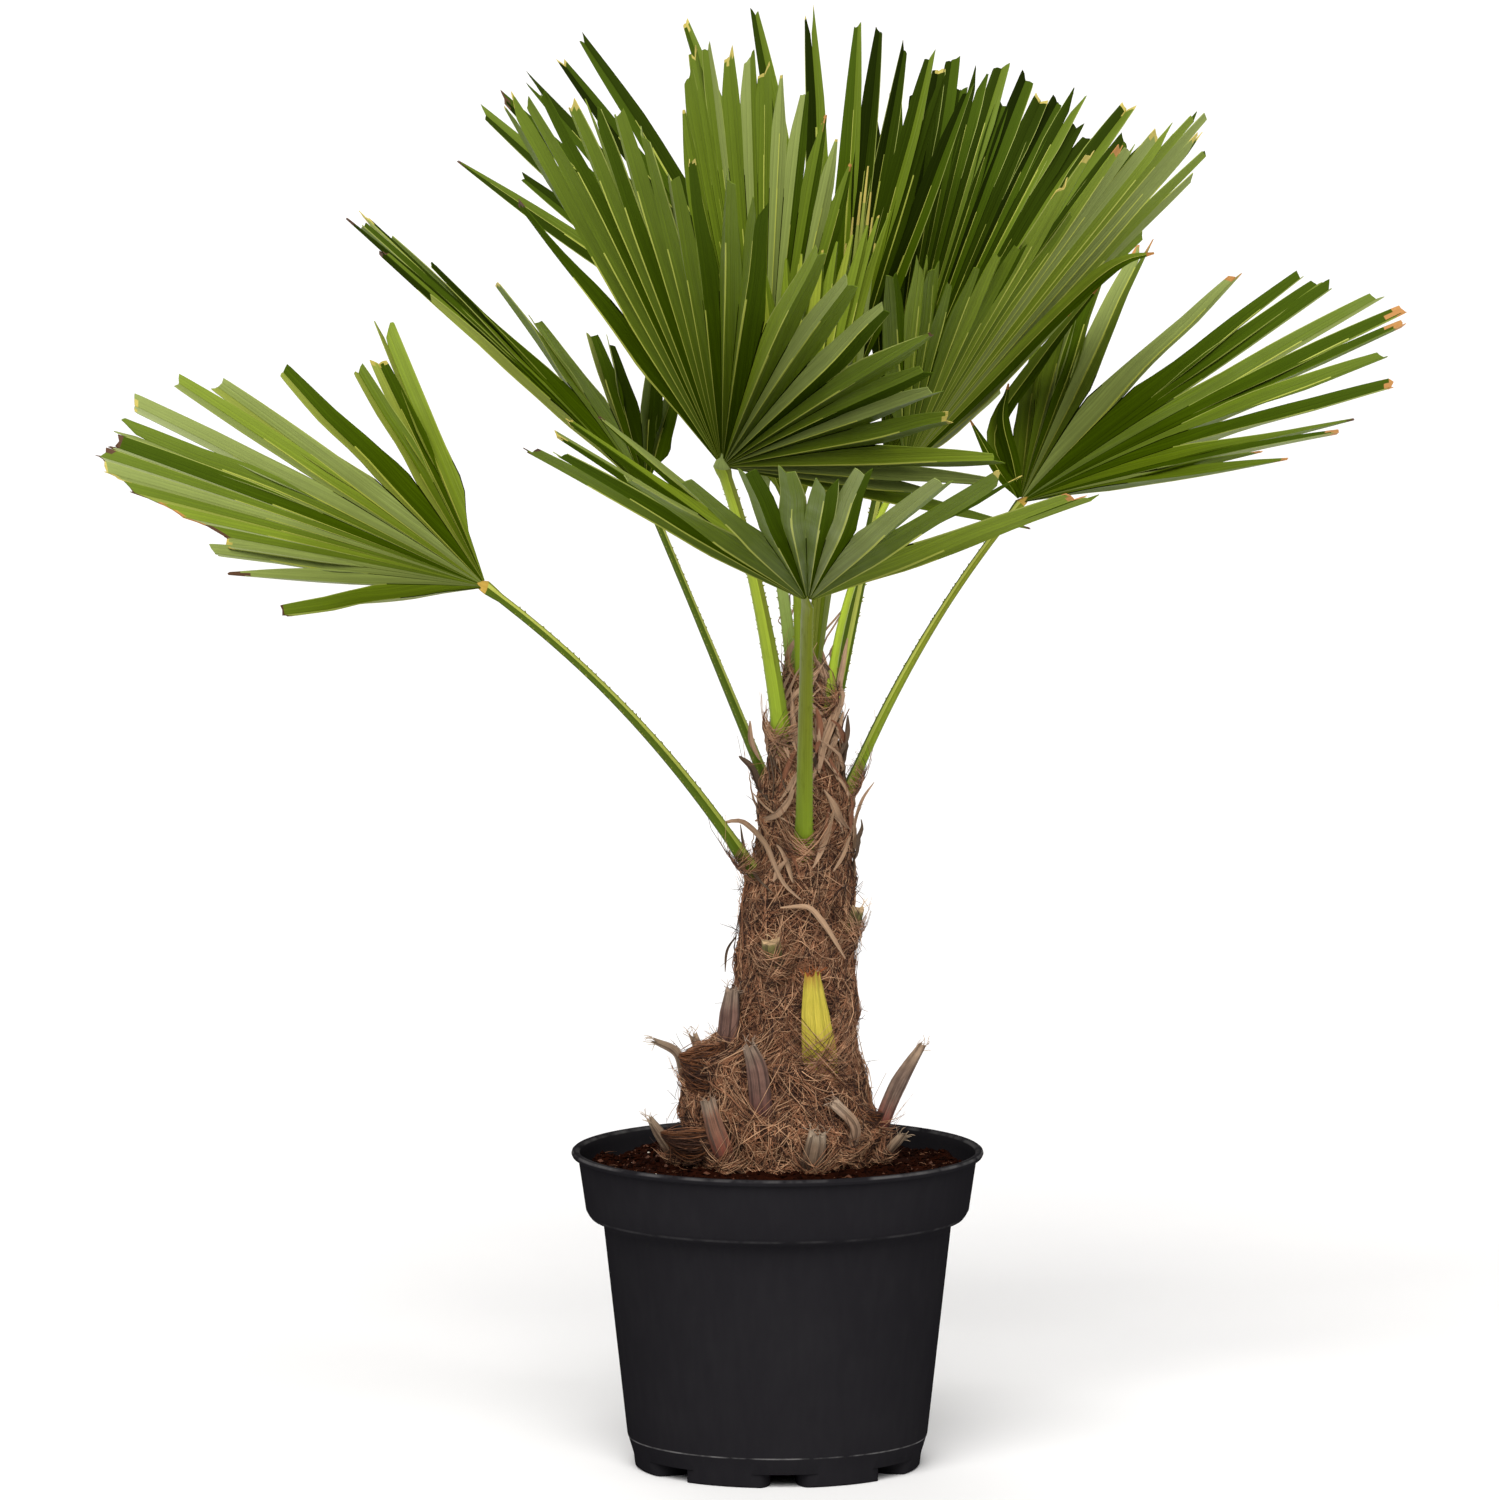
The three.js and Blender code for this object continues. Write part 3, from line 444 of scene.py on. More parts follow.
class Finish:
    """A material: its shader, its nodes and the patterns that palms and pots need."""

    def __init__(self, name, **constants):
        self.material = bpy.data.materials.new(name)
        self.material.use_nodes = True
        self.tree = self.material.node_tree
        self.shader = self.tree.nodes["Principled BSDF"]
        for socket, value in constants.items():
            self.shader.inputs[socket.replace("_", " ")].default_value = value

    def feed(self, socket, value):
        """Links a wire to a socket, or sets the socket to a number or colour."""
        if isinstance(value, Wire):
            self.tree.links.new(value.socket, socket)
        else:
            socket.default_value = value

    def node(self, kind, settings=None, sockets=None, output=0):
        """Adds a node, sets it up, fills its sockets and gives one of its outputs."""
        node = self.tree.nodes.new(kind)
        for name, value in (settings or {}).items():
            setattr(node, name, value)
        for key, value in (sockets or {}).items():
            self.feed(node.inputs[key], value)
        return Wire(self, node.outputs[output])

    def place(self, stretch=(1, 1, 1)):
        """Where a point of the piece is, in metres, stretched along the axes."""
        where = self.node("ShaderNodeTexCoord", output="Object")
        return self.node("ShaderNodeVectorMath", {"operation": "MULTIPLY"}, {0: where, 1: stretch})

    def grain(self, stretch=(1, 1, 1)):
        """Where a point is across and along its leaflet or strand, in metres, stretched."""
        where = self.node("ShaderNodeUVMap", {"uv_map": GRAIN_MAP})
        return self.node("ShaderNodeVectorMath", {"operation": "MULTIPLY"}, {0: where, 1: stretch})

    def part(self, vector, axis):
        """One number of a vector."""
        return self.node("ShaderNodeSeparateXYZ", None, {"Vector": vector}, axis)

    def along(self):
        """How far along its leaflet, stalk or husk a point is, in metres."""
        return self.part(self.grain(), "Y")

    def noise(self, where, scale, detail=3.0, roughness=0.55):
        """Cloudy noise about 0.5, with so many patches to a unit of the vector."""
        return self.node("ShaderNodeTexNoise", None, {
            "Vector": where, "Scale": scale, "Detail": detail, "Roughness": roughness})

    def between(self, value, low, high):
        """A value stretched so that low gives 0 and high gives 1, held within them."""
        return self.node("ShaderNodeMapRange", None, {0: value, 1: low, 2: high})

    def patches(self, low, high, *of_noise):
        """Noise with its contrast raised: bare below low, full above high."""
        return self.between(self.noise(*of_noise), low, high)

    def blend(self, mask, first, second):
        """A colour between two, by a mask."""
        return self.node("ShaderNodeMix", {"data_type": "RGBA"}, {0: mask, 6: first, 7: second}, 2)

    def bump(self, height, distance, strength=1.0):
        """A relief as deep as a distance in metres."""
        return self.node("ShaderNodeBump", None, {
            "Height": height, "Distance": distance, "Strength": strength})

    def wear(self, base=None, roughness=None, normal=None):
        """Links what varies to the shader."""
        for socket, value in (("Base Color", base), ("Roughness", roughness), ("Normal", normal)):
            if value is not None:
                self.feed(self.shader.inputs[socket], value)
        return self.material


def darker(tint, factor):
    """A colour made darker, or brighter by a factor above 1."""
    return [channel * factor for channel in tint[:3]] + [1.0]


def bloom_and_sheen(tint):
    """A leaf's colour under a grey bloom, lightened also as a painted sheen."""
    grey = sum(tint[:3]) / 3
    return [channel * 1.2 + grey * 0.25 for channel in tint[:3]] + [1.0]


def plastic_finish(tint, edges):
    """Moulded polypropylene: dull black, with faint swirls, dust, orange peel and a painted highlight along
    each edge. Each edge is a height, how far its painted highlight spreads up and down, and how strong it
    is."""
    finish = Finish("pot_plastic", Roughness=0.5, Specular_IOR_Level=0.0)
    where = finish.place()
    cloud = finish.noise(where, 14.0, 4.0)
    scuff = finish.noise(finish.place((1, 1, 0.2)), 160.0, 2.0)
    dust = finish.between(cloud * 0.6 + scuff * 0.4, 0.42, 0.7)
    dusty = [channel + 0.005 for channel in tint[:3]] + [1.0]
    base = finish.blend(dust * 0.5, tint, dusty)
    height = finish.part(where, "Z")
    broken = finish.patches(0.38, 0.6, where, 45.0)
    # Painted highlight: a paler grey along each edge, broken into patches
    for edge, spread, strength in edges:
        painted_highlight = finish.between(1 - (height - edge).size() * (1 / spread), 0.0, 0.6)
        base = finish.blend(painted_highlight * broken * strength, base, colour(EDGE_HIGHLIGHT_GREY))
    peel = finish.noise(where, 900.0, 1.0)
    return finish.wear(base, 0.44 + dust * 0.14, finish.bump(peel * 0.6 + cloud * 0.4, 0.00012, 0.35))


def peat_finish(name, tint, dark=0.35, grit=260.0):
    """Damp peat: dark and reddish, with lighter crumbs and a rough surface."""
    finish = Finish(name, Roughness=0.95, Specular_IOR_Level=0.03)
    where = finish.place()
    lumps = finish.patches(0.3, 0.7, where, 60.0, 5.0, 0.7)
    specks = finish.patches(0.45, 0.75, where, grit, 2.0)
    base = finish.blend(lumps, darker(tint, dark), tint)
    base = finish.blend(specks * 0.5, base, darker(tint, 1.7))
    return finish.wear(base, 0.8 + lumps * 0.18, finish.bump(specks + lumps, 0.0014, 0.8))


def perlite_finish(tint):
    """Perlite: chalky and pitted."""
    finish = Finish("perlite", Roughness=0.9)
    pits = finish.noise(finish.place(), 700.0, 3.0)
    return finish.wear(finish.blend(pits, darker(tint, 0.6), tint), None, finish.bump(pits, 0.0006))


def bark_finish(tint):
    """Old sheath between the fibres: streaky, dull and dark in the hollows."""
    finish = Finish("trunk_bark", Roughness=0.95, Specular_IOR_Level=0.2)
    streaks = finish.noise(finish.place((1, 1, 0.25)), 240.0, 5.0, 0.65)
    patches = finish.patches(0.3, 0.7, finish.place(), 34.0)
    base = finish.blend(finish.between(streaks, 0.35, 0.7), darker(tint, 0.45), darker(tint, 1.35))
    base = finish.blend(patches * 0.5, base, darker(tint, 0.6))
    return finish.wear(base, None, finish.bump(streaks, 0.0015))


def fibre_finish(name, tint):
    """A strand: darker and lighter along its length, with a dry sheen."""
    finish = Finish(name, Roughness=0.75, Specular_IOR_Level=0.3)
    patches = finish.patches(0.3, 0.7, finish.place(), 90.0)
    base = finish.blend(patches, darker(tint, 0.62), darker(tint, 1.25))
    return finish.wear(base, 0.62 + patches * 0.25)


def leaf_finish(name, tint):
    """A leaflet's skin: fine veins along it, painted shade near the hub, a bloom that grows towards its tip
    and is partly a painted sheen, and, except in the dark tones, a waxy gloss."""
    shine = 0.0 if name in DULL_TONES else 0.1
    finish = Finish("leaf_" + name, Roughness=0.5, Specular_IOR_Level=shine)
    veins = finish.patches(0.3, 0.7, finish.grain((800.0, 6.0, 1.0)), 1.0, 2.0)
    bands = finish.patches(0.3, 0.7, finish.grain((400.0, 4.0, 1.0)), 1.0, 2.0)
    patches = finish.patches(0.32, 0.68, finish.place(), 24.0)
    base = finish.blend(veins * 0.4 + bands * 0.6, darker(tint, 0.5), darker(tint, 1.4))
    base = finish.blend(patches * 0.5, base, darker(tint, 0.68))
    radius = finish.along()
    # Painted shade near the hub
    base = finish.blend((1 - finish.between(radius, *HUB_SHADE)) * 0.5, base, darker(tint, 0.5))
    # Bloom towards the tip, partly a painted sheen
    base = finish.blend(finish.between(radius, *TIP_BLOOM_AND_SHEEN) * 0.6, base, bloom_and_sheen(tint))
    rough = 0.42 + patches * 0.18
    return finish.wear(base, rough, finish.bump(veins * 0.6 + bands * 0.4, 0.0006, 0.6))


def stalk_finish(name, tint, freshness=0.45):
    """A leaf stalk: smooth and waxy, a fresher green at its foot, with faint lines and a few flecks."""
    finish = Finish("stalk_" + name, Roughness=0.42, Specular_IOR_Level=0.08)
    lines = finish.noise(finish.grain((900.0, 12.0, 1.0)), 1.0, 2.0)
    flecks = finish.patches(0.55, 0.75, finish.grain((160.0, 60.0, 1.0)), 1.0)
    base = finish.blend(finish.between(lines, 0.3, 0.7), darker(tint, 0.85), darker(tint, 1.15))
    above_foot = finish.between(finish.along(), *FRESH_FOOT)
    base = finish.blend((1 - above_foot) * freshness, base, colour(FRESH_GREEN))
    base = finish.blend(flecks * 0.5, base, darker(tint, 0.6))
    return finish.wear(base, 0.38 + flecks * 0.25, finish.bump(lines, 0.0003, 0.6))


def husk_finish(name, tint, low=None, dark=None, top=None, length=1.0, bare=1.0):
    """A withered leaf base or strip of sheath: ribbed along its length, blotched and dry, with dark streaks.
    It turns from its low colour into the main one half way up its length, and above the bare share of its
    length into the colour of its top."""
    low, dark, top = low or tint, dark or darker(tint, 0.5), top or tint
    finish = Finish("husk_" + name, Roughness=0.8, Specular_IOR_Level=0.3)
    ridges = finish.noise(finish.grain((620.0, 14.0, 1.0)), 1.0, 4.0, 0.65)
    blotches = finish.patches(0.35, 0.7, finish.place(), 110.0, 4.0)
    rise = finish.along() * (1 / length) + (ridges - 0.5) * 0.5
    base = finish.blend(finish.between(rise, 0.25, 0.55), low, tint)
    base = finish.blend(finish.between(rise, bare - 0.12, bare + 0.04), base, top)
    streaks = finish.patches(0.48, 0.62, finish.grain((260.0, 7.0, 1.0)), 1.0)
    base = finish.blend(streaks * 0.8, base, dark)
    base = finish.blend(finish.between(ridges, 0.35, 0.65) * 0.55, base, darker(dark, 0.7))
    base = finish.blend(blotches * 0.4, base, darker(dark, 0.9))
    return finish.wear(base, 0.66 + blotches * 0.25, finish.bump(ridges + streaks * 0.5, 0.002))


class Shape:
    """Points and faces of one piece, with a finish for each face and where each point is on its strand.
    A kind is a finish's name, or a rule that gives the name for a face's place."""

    def __init__(self, finishes):
        self.finishes = finishes
        self.kinds = {name: number for number, name in enumerate(finishes)}
        self.points = []
        self.grain = []
        self.faces = []
        self.slots = []

    def point(self, at, across=0.0, along=0.0):
        """Adds a point and gives its number."""
        self.points.append(at)
        self.grain.append((across, along))
        return len(self.points) - 1

    def face(self, corners, kind):
        """Adds a face by the numbers of its corners."""
        self.faces.append(corners)
        self.slots.append(self.kinds[kind])

    def rule(self, kind):
        """A kind as a rule, also where it is one name for every face."""
        return kind if callable(kind) else lambda *where: kind

    def slab(self, rows, lift, kind):
        """A thin closed sheet: rows of (point, across, along), lift from its under to its upper skin.
        The rule is asked for the face at (row, column) on the upper or under skin."""
        kind = self.rule(kind)
        wide = len(rows[0])
        under = [[self.point(at, across, along) for at, across, along in row] for row in rows]
        upper = [
            [self.point(at + up, across, along) for at, across, along in row] for row, up in zip(rows, lift)]

        def wall(ends, turn, name):
            corners = [upper[a][b] for a, b in ends] + [under[a][b] for a, b in reversed(ends)]
            self.face(corners[::turn], name)

        for row in range(len(rows) - 1):
            for column in range(wide - 1):
                corners = [(row, column), (row, column + 1), (row + 1, column + 1), (row + 1, column)]
                self.face([upper[a][b] for a, b in corners], kind(row, column, True))
                self.face([under[a][b] for a, b in reversed(corners)], kind(row, column, False))
            for column, turn in ((0, 1), (wide - 1, -1)):
                wall([(row, column), (row + 1, column)], turn, kind(row, min(column, wide - 2), True))
        for row, turn in ((0, -1), (len(rows) - 1, 1)):
            for column in range(wide - 1):
                wall([(row, column), (row, column + 1)], turn, kind(min(row, len(rows) - 2), column, True))

    def loft(self, rings, kind):
        """A closed skin over rings of points, each as many as the others. The rule is asked for the face at
        (ring, side), and for each end with the side -1."""
        kind = self.rule(kind)
        sides = len(rings[0])
        around = [(a - b).length for a, b in zip(rings[0], rings[0][1:])]
        numbers = []
        run = 0.0
        for place, ring in enumerate(rings):
            if place:
                run += (ring[0] - rings[place - 1][0]).length
            numbers.append([self.point(at, sum(around[:side]), run) for side, at in enumerate(ring)])
        for place in range(len(rings) - 1):
            for side in range(sides):
                near = (side + 1) % sides
                low, high = numbers[place], numbers[place + 1]
                self.face([low[side], low[near], high[near], high[side]], kind(place, side))
        self.face(numbers[0][::-1], kind(0, -1))
        self.face(numbers[-1], kind(len(rings) - 1, -1))

    def piece(self, name, smooth=True, crease=None):
        """Makes the object, with only the finishes that its faces use. Crease is the angle in degrees
        above which an edge stays sharp."""
        mesh = bpy.data.meshes.new(name)
        mesh.from_pydata(self.points, [], self.faces)
        used = sorted(set(self.slots))
        finishes = list(self.finishes.values())
        for number in used:
            mesh.materials.append(finishes[number])
        mesh.polygons.foreach_set("material_index", [used.index(number) for number in self.slots])
        grain = mesh.uv_layers.new(name=GRAIN_MAP)
        corners = [number for corners in self.faces for number in corners]
        grain.uv.foreach_set("vector", [value for number in corners for value in self.grain[number]])
        mesh.polygons.foreach_set("use_smooth", [smooth] * len(self.faces))
        if crease is not None:
            mesh.set_sharp_from_angle(angle=math.radians(crease))
        piece = bpy.data.objects.new(name, mesh)
        bpy.context.scene.collection.objects.link(piece)
        return piece


def settle(piece, slot, *nodes):
    """Says what a finished piece rides on and hides the nodes it stands for. Its slot is not used."""
    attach(piece, "root")
    if nodes:
        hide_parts(*nodes)


# Curves and small solids

# How much of its width a strand or ribbon keeps at its ends, a ribbon's thickness, a strand's three
# corners, and a crumb's sides
STRAND_END = 0.35
RIBBON_END = 0.08
RIBBON_THICKNESS = 0.0004
TRIANGLE = ((1, 0), (-0.5, 0.87), (-0.5, -0.87))
CRUMB_SIDES = 5


def smooth(value):
    """From 0 to 1, gently at both ends."""
    held = min(max(value, 0.0), 1.0)
    return held * held * (3 - 2 * held)


def mix(first, second, along):
    """A number or point between two."""
    return first + (second - first) * along


def fade(value, start, over):
    """From 0 to 1, gently, as a value goes from start over a distance."""
    return smooth((value - start) / over)


def turns(sides):
    """Angles at even steps, once round."""
    return [side / sides * ROUND for side in range(sides)]


def spoke(turn, reach=1.0, height=0.0):
    """A point at an angle round the upright axis."""
    return Vector((reach * math.cos(turn), reach * math.sin(turn), height))


def stray(rng):
    """A random step, up to 1 along each axis."""
    return Vector([rng.uniform(-1, 1) for axis in range(3)])


def bowed(start, middle, end, steps):
    """Points along a quadratic curve."""
    shares = [step / steps for step in range(steps + 1)]
    return [start * (1 - t) ** 2 + middle * 2 * t * (1 - t) + end * t * t for t in shares]


def frames(path, face):
    """At each point of a path: the point, across, and out, which is as near to face as it can be."""
    found = []
    for number, at in enumerate(path):
        before, after = path[max(number - 1, 0)], path[min(number + 1, len(path) - 1)]
        tangent = (after - before).normalized()
        across = face.cross(tangent).normalized()
        found.append((at, across, tangent.cross(across).normalized()))
    return found


def strand(shape, path, radius, kind, rng):
    """A fine three-sided strand that thins towards its ends."""
    rings = []
    last = len(path) - 1
    for number, (at, across, out) in enumerate(frames(path, stray(rng).normalized())):
        swell = math.sin(math.pi * (number + 0.35) / (last + 0.7))
        thin = radius * mix(STRAND_END, 1, swell)
        rings.append([at + across * thin * x + out * thin * y for x, y in TRIANGLE])
    shape.loft(rings, kind)


def ribbon(shape, path, face, half, kind, rng):
    """A thin strip along a path, which narrows to its ends, cups a little and twists."""
    rows = []
    last = len(path) - 1
    lift = []
    twist, phase = rng.uniform(-1.1, 1.1), rng.uniform(0, 6)
    for number, (at, across, out) in enumerate(frames(path, face)):
        spin = Matrix.Rotation(twist * math.sin(phase + 3 * number / last), 3, across.cross(out))
        across, out = spin @ across, spin @ out
        wide = half * mix(RIBBON_END, 1, math.sin(math.pi * (number + 0.4) / (last + 0.8)) ** 0.8)
        rows.append([
            (at + across * wide * place + out * wide * 0.5 * place * place, wide * place, number * 0.005)
            for place in (1, 0, -1)])
        lift.append(out * RIBBON_THICKNESS)
    shape.slab(rows, lift, kind)


def crumb(shape, at, radius, kind, rng):
    """A small rough lump."""
    turned = rng.uniform(0, ROUND)
    top = shape.point(at + Vector((0, 0, radius * rng.uniform(0.5, 1.0))))
    foot = shape.point(at - Vector((0, 0, radius * 0.7)))
    belt = []
    for turn in turns(CRUMB_SIDES):
        reach = radius * rng.uniform(0.65, 1.25)
        belt.append(shape.point(at + spoke(turned + turn, reach, radius * rng.uniform(-0.3, 0.3))))
    for side, near in zip(belt, belt[1:] + belt[:1]):
        shape.face([side, near, top], kind)
        shape.face([near, side, foot], kind)


# Pot

# Drainage channels: their height, where the first one is, and their half widths inside and at the mouth
CHANNEL_HEIGHT = 0.010
CHANNEL_TURN = math.radians(2.8)
CHANNEL_HALF = 0.0095
CHANNEL_MOUTH_HALF = 0.024

# How fine the pot's mesh is, how far its edges are rounded, and the angles above which they are rounded
# and stay sharp
POT_SIDES = 168
EDGE_ROUNDING = 0.0006
ROUNDED_FROM = math.radians(38)
SHARP_FROM = math.radians(36)


def pot_profile(sizes):
    """Radius and height along the pot's outside, over the lip and down the inside to the floor."""
    base, foot, body, lip = sizes.base_radius, sizes.foot_radius, sizes.body_radius, sizes.lip_radius
    collar, collar_foot, wall = sizes.collar_radius, sizes.collar_foot_radius, sizes.wall
    top, step = sizes.height, sizes.height - sizes.collar_height
    chamfer = [
        (base - 0.0012, 0.0), (base, 0.001), (base + 0.001, 0.009), (foot - 0.0006, 0.0208), (foot, 0.0222),
        (foot + 0.0004, 0.024)]
    start, end = chamfer[-1], (body, step - 0.008)
    side = [(mix(start[0], end[0], t / 8), mix(start[1], end[1], t / 8)) for t in range(1, 9)]
    shoulder = [
        (body + 0.0016, step - 0.0052), (body + 0.0052, step - 0.0028), (body + 0.0095, step - 0.0010),
        (collar_foot - 0.0018, step + 0.0012), (collar_foot, step + 0.0045)]
    band = [
        (mix(collar_foot, collar, t), mix(step + 0.0045, top - 0.0062, t)) for t in (0.3, 0.65, 1.0)]
    rim = [
        (lip - 0.0030, top - 0.0054), (lip - 0.0008, top - 0.0044), (lip, top - 0.0026),
        (lip - 0.0004, top - 0.0010), (lip - 0.0016, top), (collar + 0.0022 - wall, top - 0.0004),
        (collar + 0.0008 - wall, top - 0.0024)]
    inside = [
        (collar - wall, top - 0.007), (collar_foot - wall, step + 0.005), (body - wall, step - 0.005),
        (foot - wall, 0.022), (base - wall, sizes.floor), (0.02, sizes.floor)]
    return chamfer + side + shoulder + band + rim + inside


def channel_plan(sizes):
    """Half the outline of a drainage channel, seen from above: (distance from the axis, half width)."""
    mouth = sizes.base_radius - sizes.wall
    bend = [
        ((1 - t) ** 2 * 0.084 + 2 * t * (1 - t) * (mouth - 0.003) + t * t * mouth,
         (1 - t) ** 2 * CHANNEL_HALF + 2 * t * (1 - t) * 0.0105 + t * t * 0.0175)
        for t in [step / 8 for step in range(9)]]
    ends = [(mouth, CHANNEL_MOUTH_HALF), (sizes.foot_radius + 0.004, CHANNEL_MOUTH_HALF)]
    return [(0.045, CHANNEL_HALF)] + bend + ends


def channel_cutter(sizes, turn):
    """A solid with the outline of a drainage channel, for cutting it out of the pot's foot."""
    half = channel_plan(sizes)
    outline = [(x, -y) for x, y in half] + half[::-1]
    shape = Shape({"plastic": None})
    spin = Matrix.Rotation(turn - math.pi / 2, 3, "Z")
    shape.loft([[spin @ Vector((x, y, z)) for x, y in outline] for z in (-0.004, CHANNEL_HEIGHT)], "plastic")
    return shape.piece("channel_cutter", smooth=False)


def apply_modifiers(piece):
    """Keeps the mesh that the piece's modifiers give, and removes them."""
    graph = bpy.context.evaluated_depsgraph_get()
    mesh = bpy.data.meshes.new_from_object(piece.evaluated_get(graph), depsgraph=graph)
    piece.modifiers.clear()
    piece.data = mesh


class PALM_OT_pot(bpy.types.Operator):
    """Builds the nursery pot with its lip, collar, chamfered foot and drainage channels"""

    bl_idname = "palm.pot"
    bl_label = "Nursery pot"

    def execute(self, context):
        sizes = context.scene.palm_pot
        collar_foot = sizes.height - sizes.collar_height
        # Edges that carry a painted highlight: the chamfer, the lip and the foot of the collar
        highlight_edges = (
            (0.0222, 0.0007, 0.75), (sizes.height - 0.0012, 0.0012, 0.35),
            (collar_foot + 0.0008, 0.0012, 0.12))
        finish = plastic_finish(context.scene.palm_colours.plastic, highlight_edges)
        shape = Shape({"plastic": finish})
        rings = [[spoke(turn, *place) for turn in turns(POT_SIDES)] for place in pot_profile(sizes)]
        shape.loft(rings, "plastic")
        pot = shape.piece("pot_shell", smooth=False)
        for turn in turns(sizes.feet):
            cutter = channel_cutter(sizes, CHANNEL_TURN + turn)
            cut = pot.modifiers.new("channel", "BOOLEAN")
            cut.operation = "DIFFERENCE"
            cut.solver = "EXACT"
            cut.object = cutter
            apply_modifiers(pot)
            bpy.data.objects.remove(cutter)
        pot.data.materials.clear()
        pot.data.materials.append(finish)
        edge = pot.modifiers.new("soft_edges", "BEVEL")
        edge.width = EDGE_ROUNDING
        edge.segments = 2
        edge.angle_limit = ROUNDED_FROM
        apply_modifiers(pot)
        pot.data.polygons.foreach_set("use_smooth", [True] * len(pot.data.polygons))
        pot.data.set_sharp_from_angle(angle=SHARP_FROM)
        settle(pot, "pot_plastic", "pot")
        return {"FINISHED"}


# Peat

# Where the heap of peat starts to slope down from the trunk and how wide the slope is, the room between
# peat and pot, how far crumbs stay from the middle, and how fine their grit is
HEAP = (0.078, 0.050)
PEAT_SLACK = 0.0008
TRUNK_CLEAR = 0.066
GRIT = 420.0


def peat_point(sizes, radius, turn):
    """A point on the peat: low at the pot's wall, heaped towards the trunk, with lumps."""
    flat = spoke(turn, radius)
    heap = mix(sizes.seat, sizes.edge, fade(radius, *HEAP))
    lumps = noise.fractal(flat * 38, 1.0, 2.0, 4) * sizes.relief * 1.6
    return spoke(turn, radius, heap + lumps + noise.noise(flat * 190) * sizes.relief * 0.5)


class PALM_OT_peat(bpy.types.Operator):
    """Builds the peat in the pot, its loose crumbs, white grains and root fibres"""

    bl_idname = "palm.peat"
    bl_label = "Peat"

    RINGS = 64
    SIDES = 200

    def execute(self, context):
        sizes, pot, tints = context.scene.palm_soil, context.scene.palm_pot, context.scene.palm_colours
        reach = mix(pot.collar_foot_radius, pot.collar_radius, 0.72) - pot.wall - PEAT_SLACK
        self.bed(sizes, pot, reach, tints)
        self.litter(sizes, reach, tints)
        return {"FINISHED"}

    def bed(self, sizes, pot, reach, tints):
        """The peat's surface, down the pot's wall to its floor."""
        slack = pot.wall + PEAT_SLACK
        collar_foot = pot.height - pot.collar_height
        wall = [
            (pot.base_radius - slack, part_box("soil")[0].z), (pot.foot_radius - slack, 0.022),
            (pot.body_radius - slack, collar_foot - 0.008),
            (pot.collar_foot_radius - slack, collar_foot + 0.006), (reach, sizes.edge - 0.006)]
        rings = [[spoke(turn, *place) for turn in turns(self.SIDES)] for place in wall]
        for ring in range(self.RINGS):
            radius = mix(reach, 0.004, ring / (self.RINGS - 1))
            rings.append([peat_point(sizes, radius, turn) for turn in turns(self.SIDES)])
        shape = Shape({"peat": peat_finish("peat_bed", tints.peat)})
        shape.loft(rings, "peat")
        settle(shape.piece("peat_bed"), "peat_soil", "soil")

    def litter(self, sizes, reach, tints):
        """Loose crumbs, white grains and root fibres on the peat."""
        rng = Random(11)
        crumbs = Shape({
            "peat": peat_finish("peat_crumb", tints.peat, 0.4, GRIT),
            "dark": peat_finish("peat_crumb_dark", darker(tints.peat, 0.45), 0.5, GRIT),
            "light": fibre_finish("peat_chip", colour("#4f2d1c")),
        })
        grains = Shape({"perlite": perlite_finish(tints.perlite)})
        twigs = Shape({"light": fibre_finish("root_fibre", colour("#6b4730"))})

        def spot():
            radius = mix(TRUNK_CLEAR, reach - 0.002, math.sqrt(rng.random()))
            return peat_point(sizes, radius, rng.uniform(0, ROUND))

        for number in range(sizes.crumbs):
            radius = 0.0006 + 0.0022 * rng.random() ** 3
            kind = "dark" if number % 3 == 0 else "light" if number % 13 == 0 else "peat"
            crumb(crumbs, spot() + Vector((0, 0, radius * 0.3)), radius, kind, rng)
        for number in range(sizes.grains):
            radius = rng.uniform(0.0006, 0.0017)
            crumb(grains, spot() + Vector((0, 0, radius * 0.6)), radius, "perlite", rng)
        for number in range(sizes.twigs):
            at = spot()
            step = spoke(rng.uniform(0, ROUND)) * rng.uniform(0.0012, 0.0035)
            path = [at + step * place + Vector((
                rng.uniform(-1, 1), rng.uniform(-1, 1), rng.uniform(0.2, 2))) * 0.001 for place in range(5)]
            if path[-1].xy.length < reach - 0.002:
                strand(twigs, path, rng.uniform(0.0002, 0.0004), "light", rng)
        settle(crumbs.piece("peat_crumbs", smooth=False), "peat_soil")
        settle(grains.piece("perlite_grains", smooth=False), "peat_soil")
        settle(twigs.piece("root_fibres"), "peat_soil")


# Trunk

TRUNK_FOOT = TRUNK_STATIONS[0][0] * MM
TRUNK_TIP = TRUNK_STATIONS[-1][0] * MM
HUSK_STEPS = 18
STALK_STEPS = 44

# How much wider a stalk is at its foot, and how deep it is beside its width
STALK_FLARE = 1.25
STALK_DEPTH = 0.72

# How far up old leaf bases and stalks fibres cross over them, as a share of their length, and how many
HUSK_BINDING = {"husk": (0.5, 70), "green": (0.6, 130), "fresh": (0.9, 90)}
STALK_BINDING = (0.085, 110)

# From which share of its length an old leaf base stands clear of the mat, by its finish
HUSK_CLEAR = {"fresh": 0.7, "green": 0.3}

# Heights over the trunk's foot where the lowest two bands of the mat end, heights from which its strands
# turn paler and more upright and over how far, and the heights between which strips of sheath start
BAND_TOPS = (0.072, 0.18)
PALER = (0.44, 0.08)
UPRIGHT = (0.45, 0.09)
STRIP_HEIGHTS = (0.42, 0.570)

